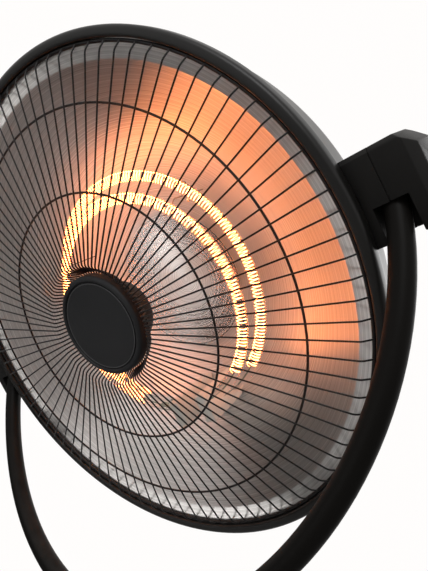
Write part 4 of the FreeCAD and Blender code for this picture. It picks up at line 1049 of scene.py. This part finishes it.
# %% [markdown]
# ## Cards that the dish mirrors
# A bright dish shows whatever stands round it, and in a white studio it would turn white. Photographers put
# cards beside such a thing. A dark one and a grey one calm the dish, and a small bright one gives it the
# pale streak. Only mirrored rays and rays through glass meet the cards, so the camera doesn't see them and
# they cast no shadow. The bright one isn't sampled as a lamp either.


# %% Cards that the dish mirrors
def card_face(name, colour):
    material, _, _, surface = new_material(name)
    surface.inputs["Base Color"].default_value = colour
    return material, surface


dark_card, _ = card_face("dark_card", (0.03, 0.028, 0.026, 1))
grey_card, _ = card_face("grey_card", (0.40, 0.395, 0.39, 1))
bright_card, surface = card_face("bright_card", (0.8, 0.8, 0.8, 1))
give(surface, {"Emission Color": WHITE, "Emission Strength": 5.5})
bright_card.cycles.emission_sampling = "NONE"
DISH_MIDDLE = Vector((0, 0.05, 1.74))
STREAK_PLACE = Vector((-1.62, -1.38, 0.35))
streak = facing(*STREAK_PLACE, DISH_MIDDLE - STREAK_PLACE)
beside = Matrix.Translation((-2.0, -1.10, 1.45)) @ Matrix.Rotation(math.pi / 2, 4, "Y")
before = Matrix.Translation((-2.0, -3.0, 0.01))
cards = (stage_sheet("streak_card", streak, 0.30, 0.30, bright_card),
         stage_sheet("side_card", beside, 2.0, 2.8, dark_card),
         stage_sheet("front_card", before, 12, 9, grey_card))
for card in cards:
    card.visible_camera = False
    card.visible_diffuse = False
    card.visible_shadow = False
print("cards:", [card.name for card in cards])

# %% [markdown]
# ## Light
# Three large square lights and a broad low strip give soft shadows and long, quiet highlights on the black
# paint. The world adds an even glow, and is plain white where it is looked at or mirrored.

# %% Lights and background
scene = bpy.context.scene
scene.view_settings.view_transform = "Standard"
world = bpy.data.worlds.new("studio")
scene.world = world
world.use_nodes = True
nodes, links = world.node_tree.nodes, world.node_tree.links
sky = nodes["Background"]
give(sky, {"Color": (1.0, 0.99, 0.98, 1), "Strength": 0.40})
white = nodes.new("ShaderNodeBackground")
give(white, {"Color": WHITE, "Strength": 1.0})
choose = nodes.new("ShaderNodeMixShader")
links.new(seen_directly(nodes, links), choose.inputs["Fac"])
wire_up(links, (sky, "Background", choose, 1), (white, "Background", choose, 2))
links.new(choose.outputs["Shader"], nodes["World Output"].inputs["Surface"])


def soft_light(name, place, aim, size, watts):
    """Square area light that looks at a point; places are in metres."""
    data = bpy.data.lights.new(name, "AREA")
    data.shape = "SQUARE"
    data.size = size
    data.energy = watts
    light = bpy.data.objects.new(name, data)
    toward = Vector(aim) - Vector(place)
    light.matrix_world = Matrix.Translation(place) @ toward.to_track_quat("-Z", "Y").to_matrix().to_4x4()
    scene.collection.objects.link(light)
    return light


soft_light("key", (2.2, -2.4, 3.0), (0, 0, 1.4), 1.6, 50)
soft_light("fill", (-2.6, -1.6, 1.6), (0, 0, 1.2), 2.0, 18)
soft_light("back", (0.6, 2.8, 2.8), (0, 0, 1.4), 2.0, 30)
strip = soft_light("strip", (-0.8, -4.2, 0.7), (0, 0, 1.6), 2.8, 10)
strip.data.shape = "RECTANGLE"
strip.data.size_y = 0.8
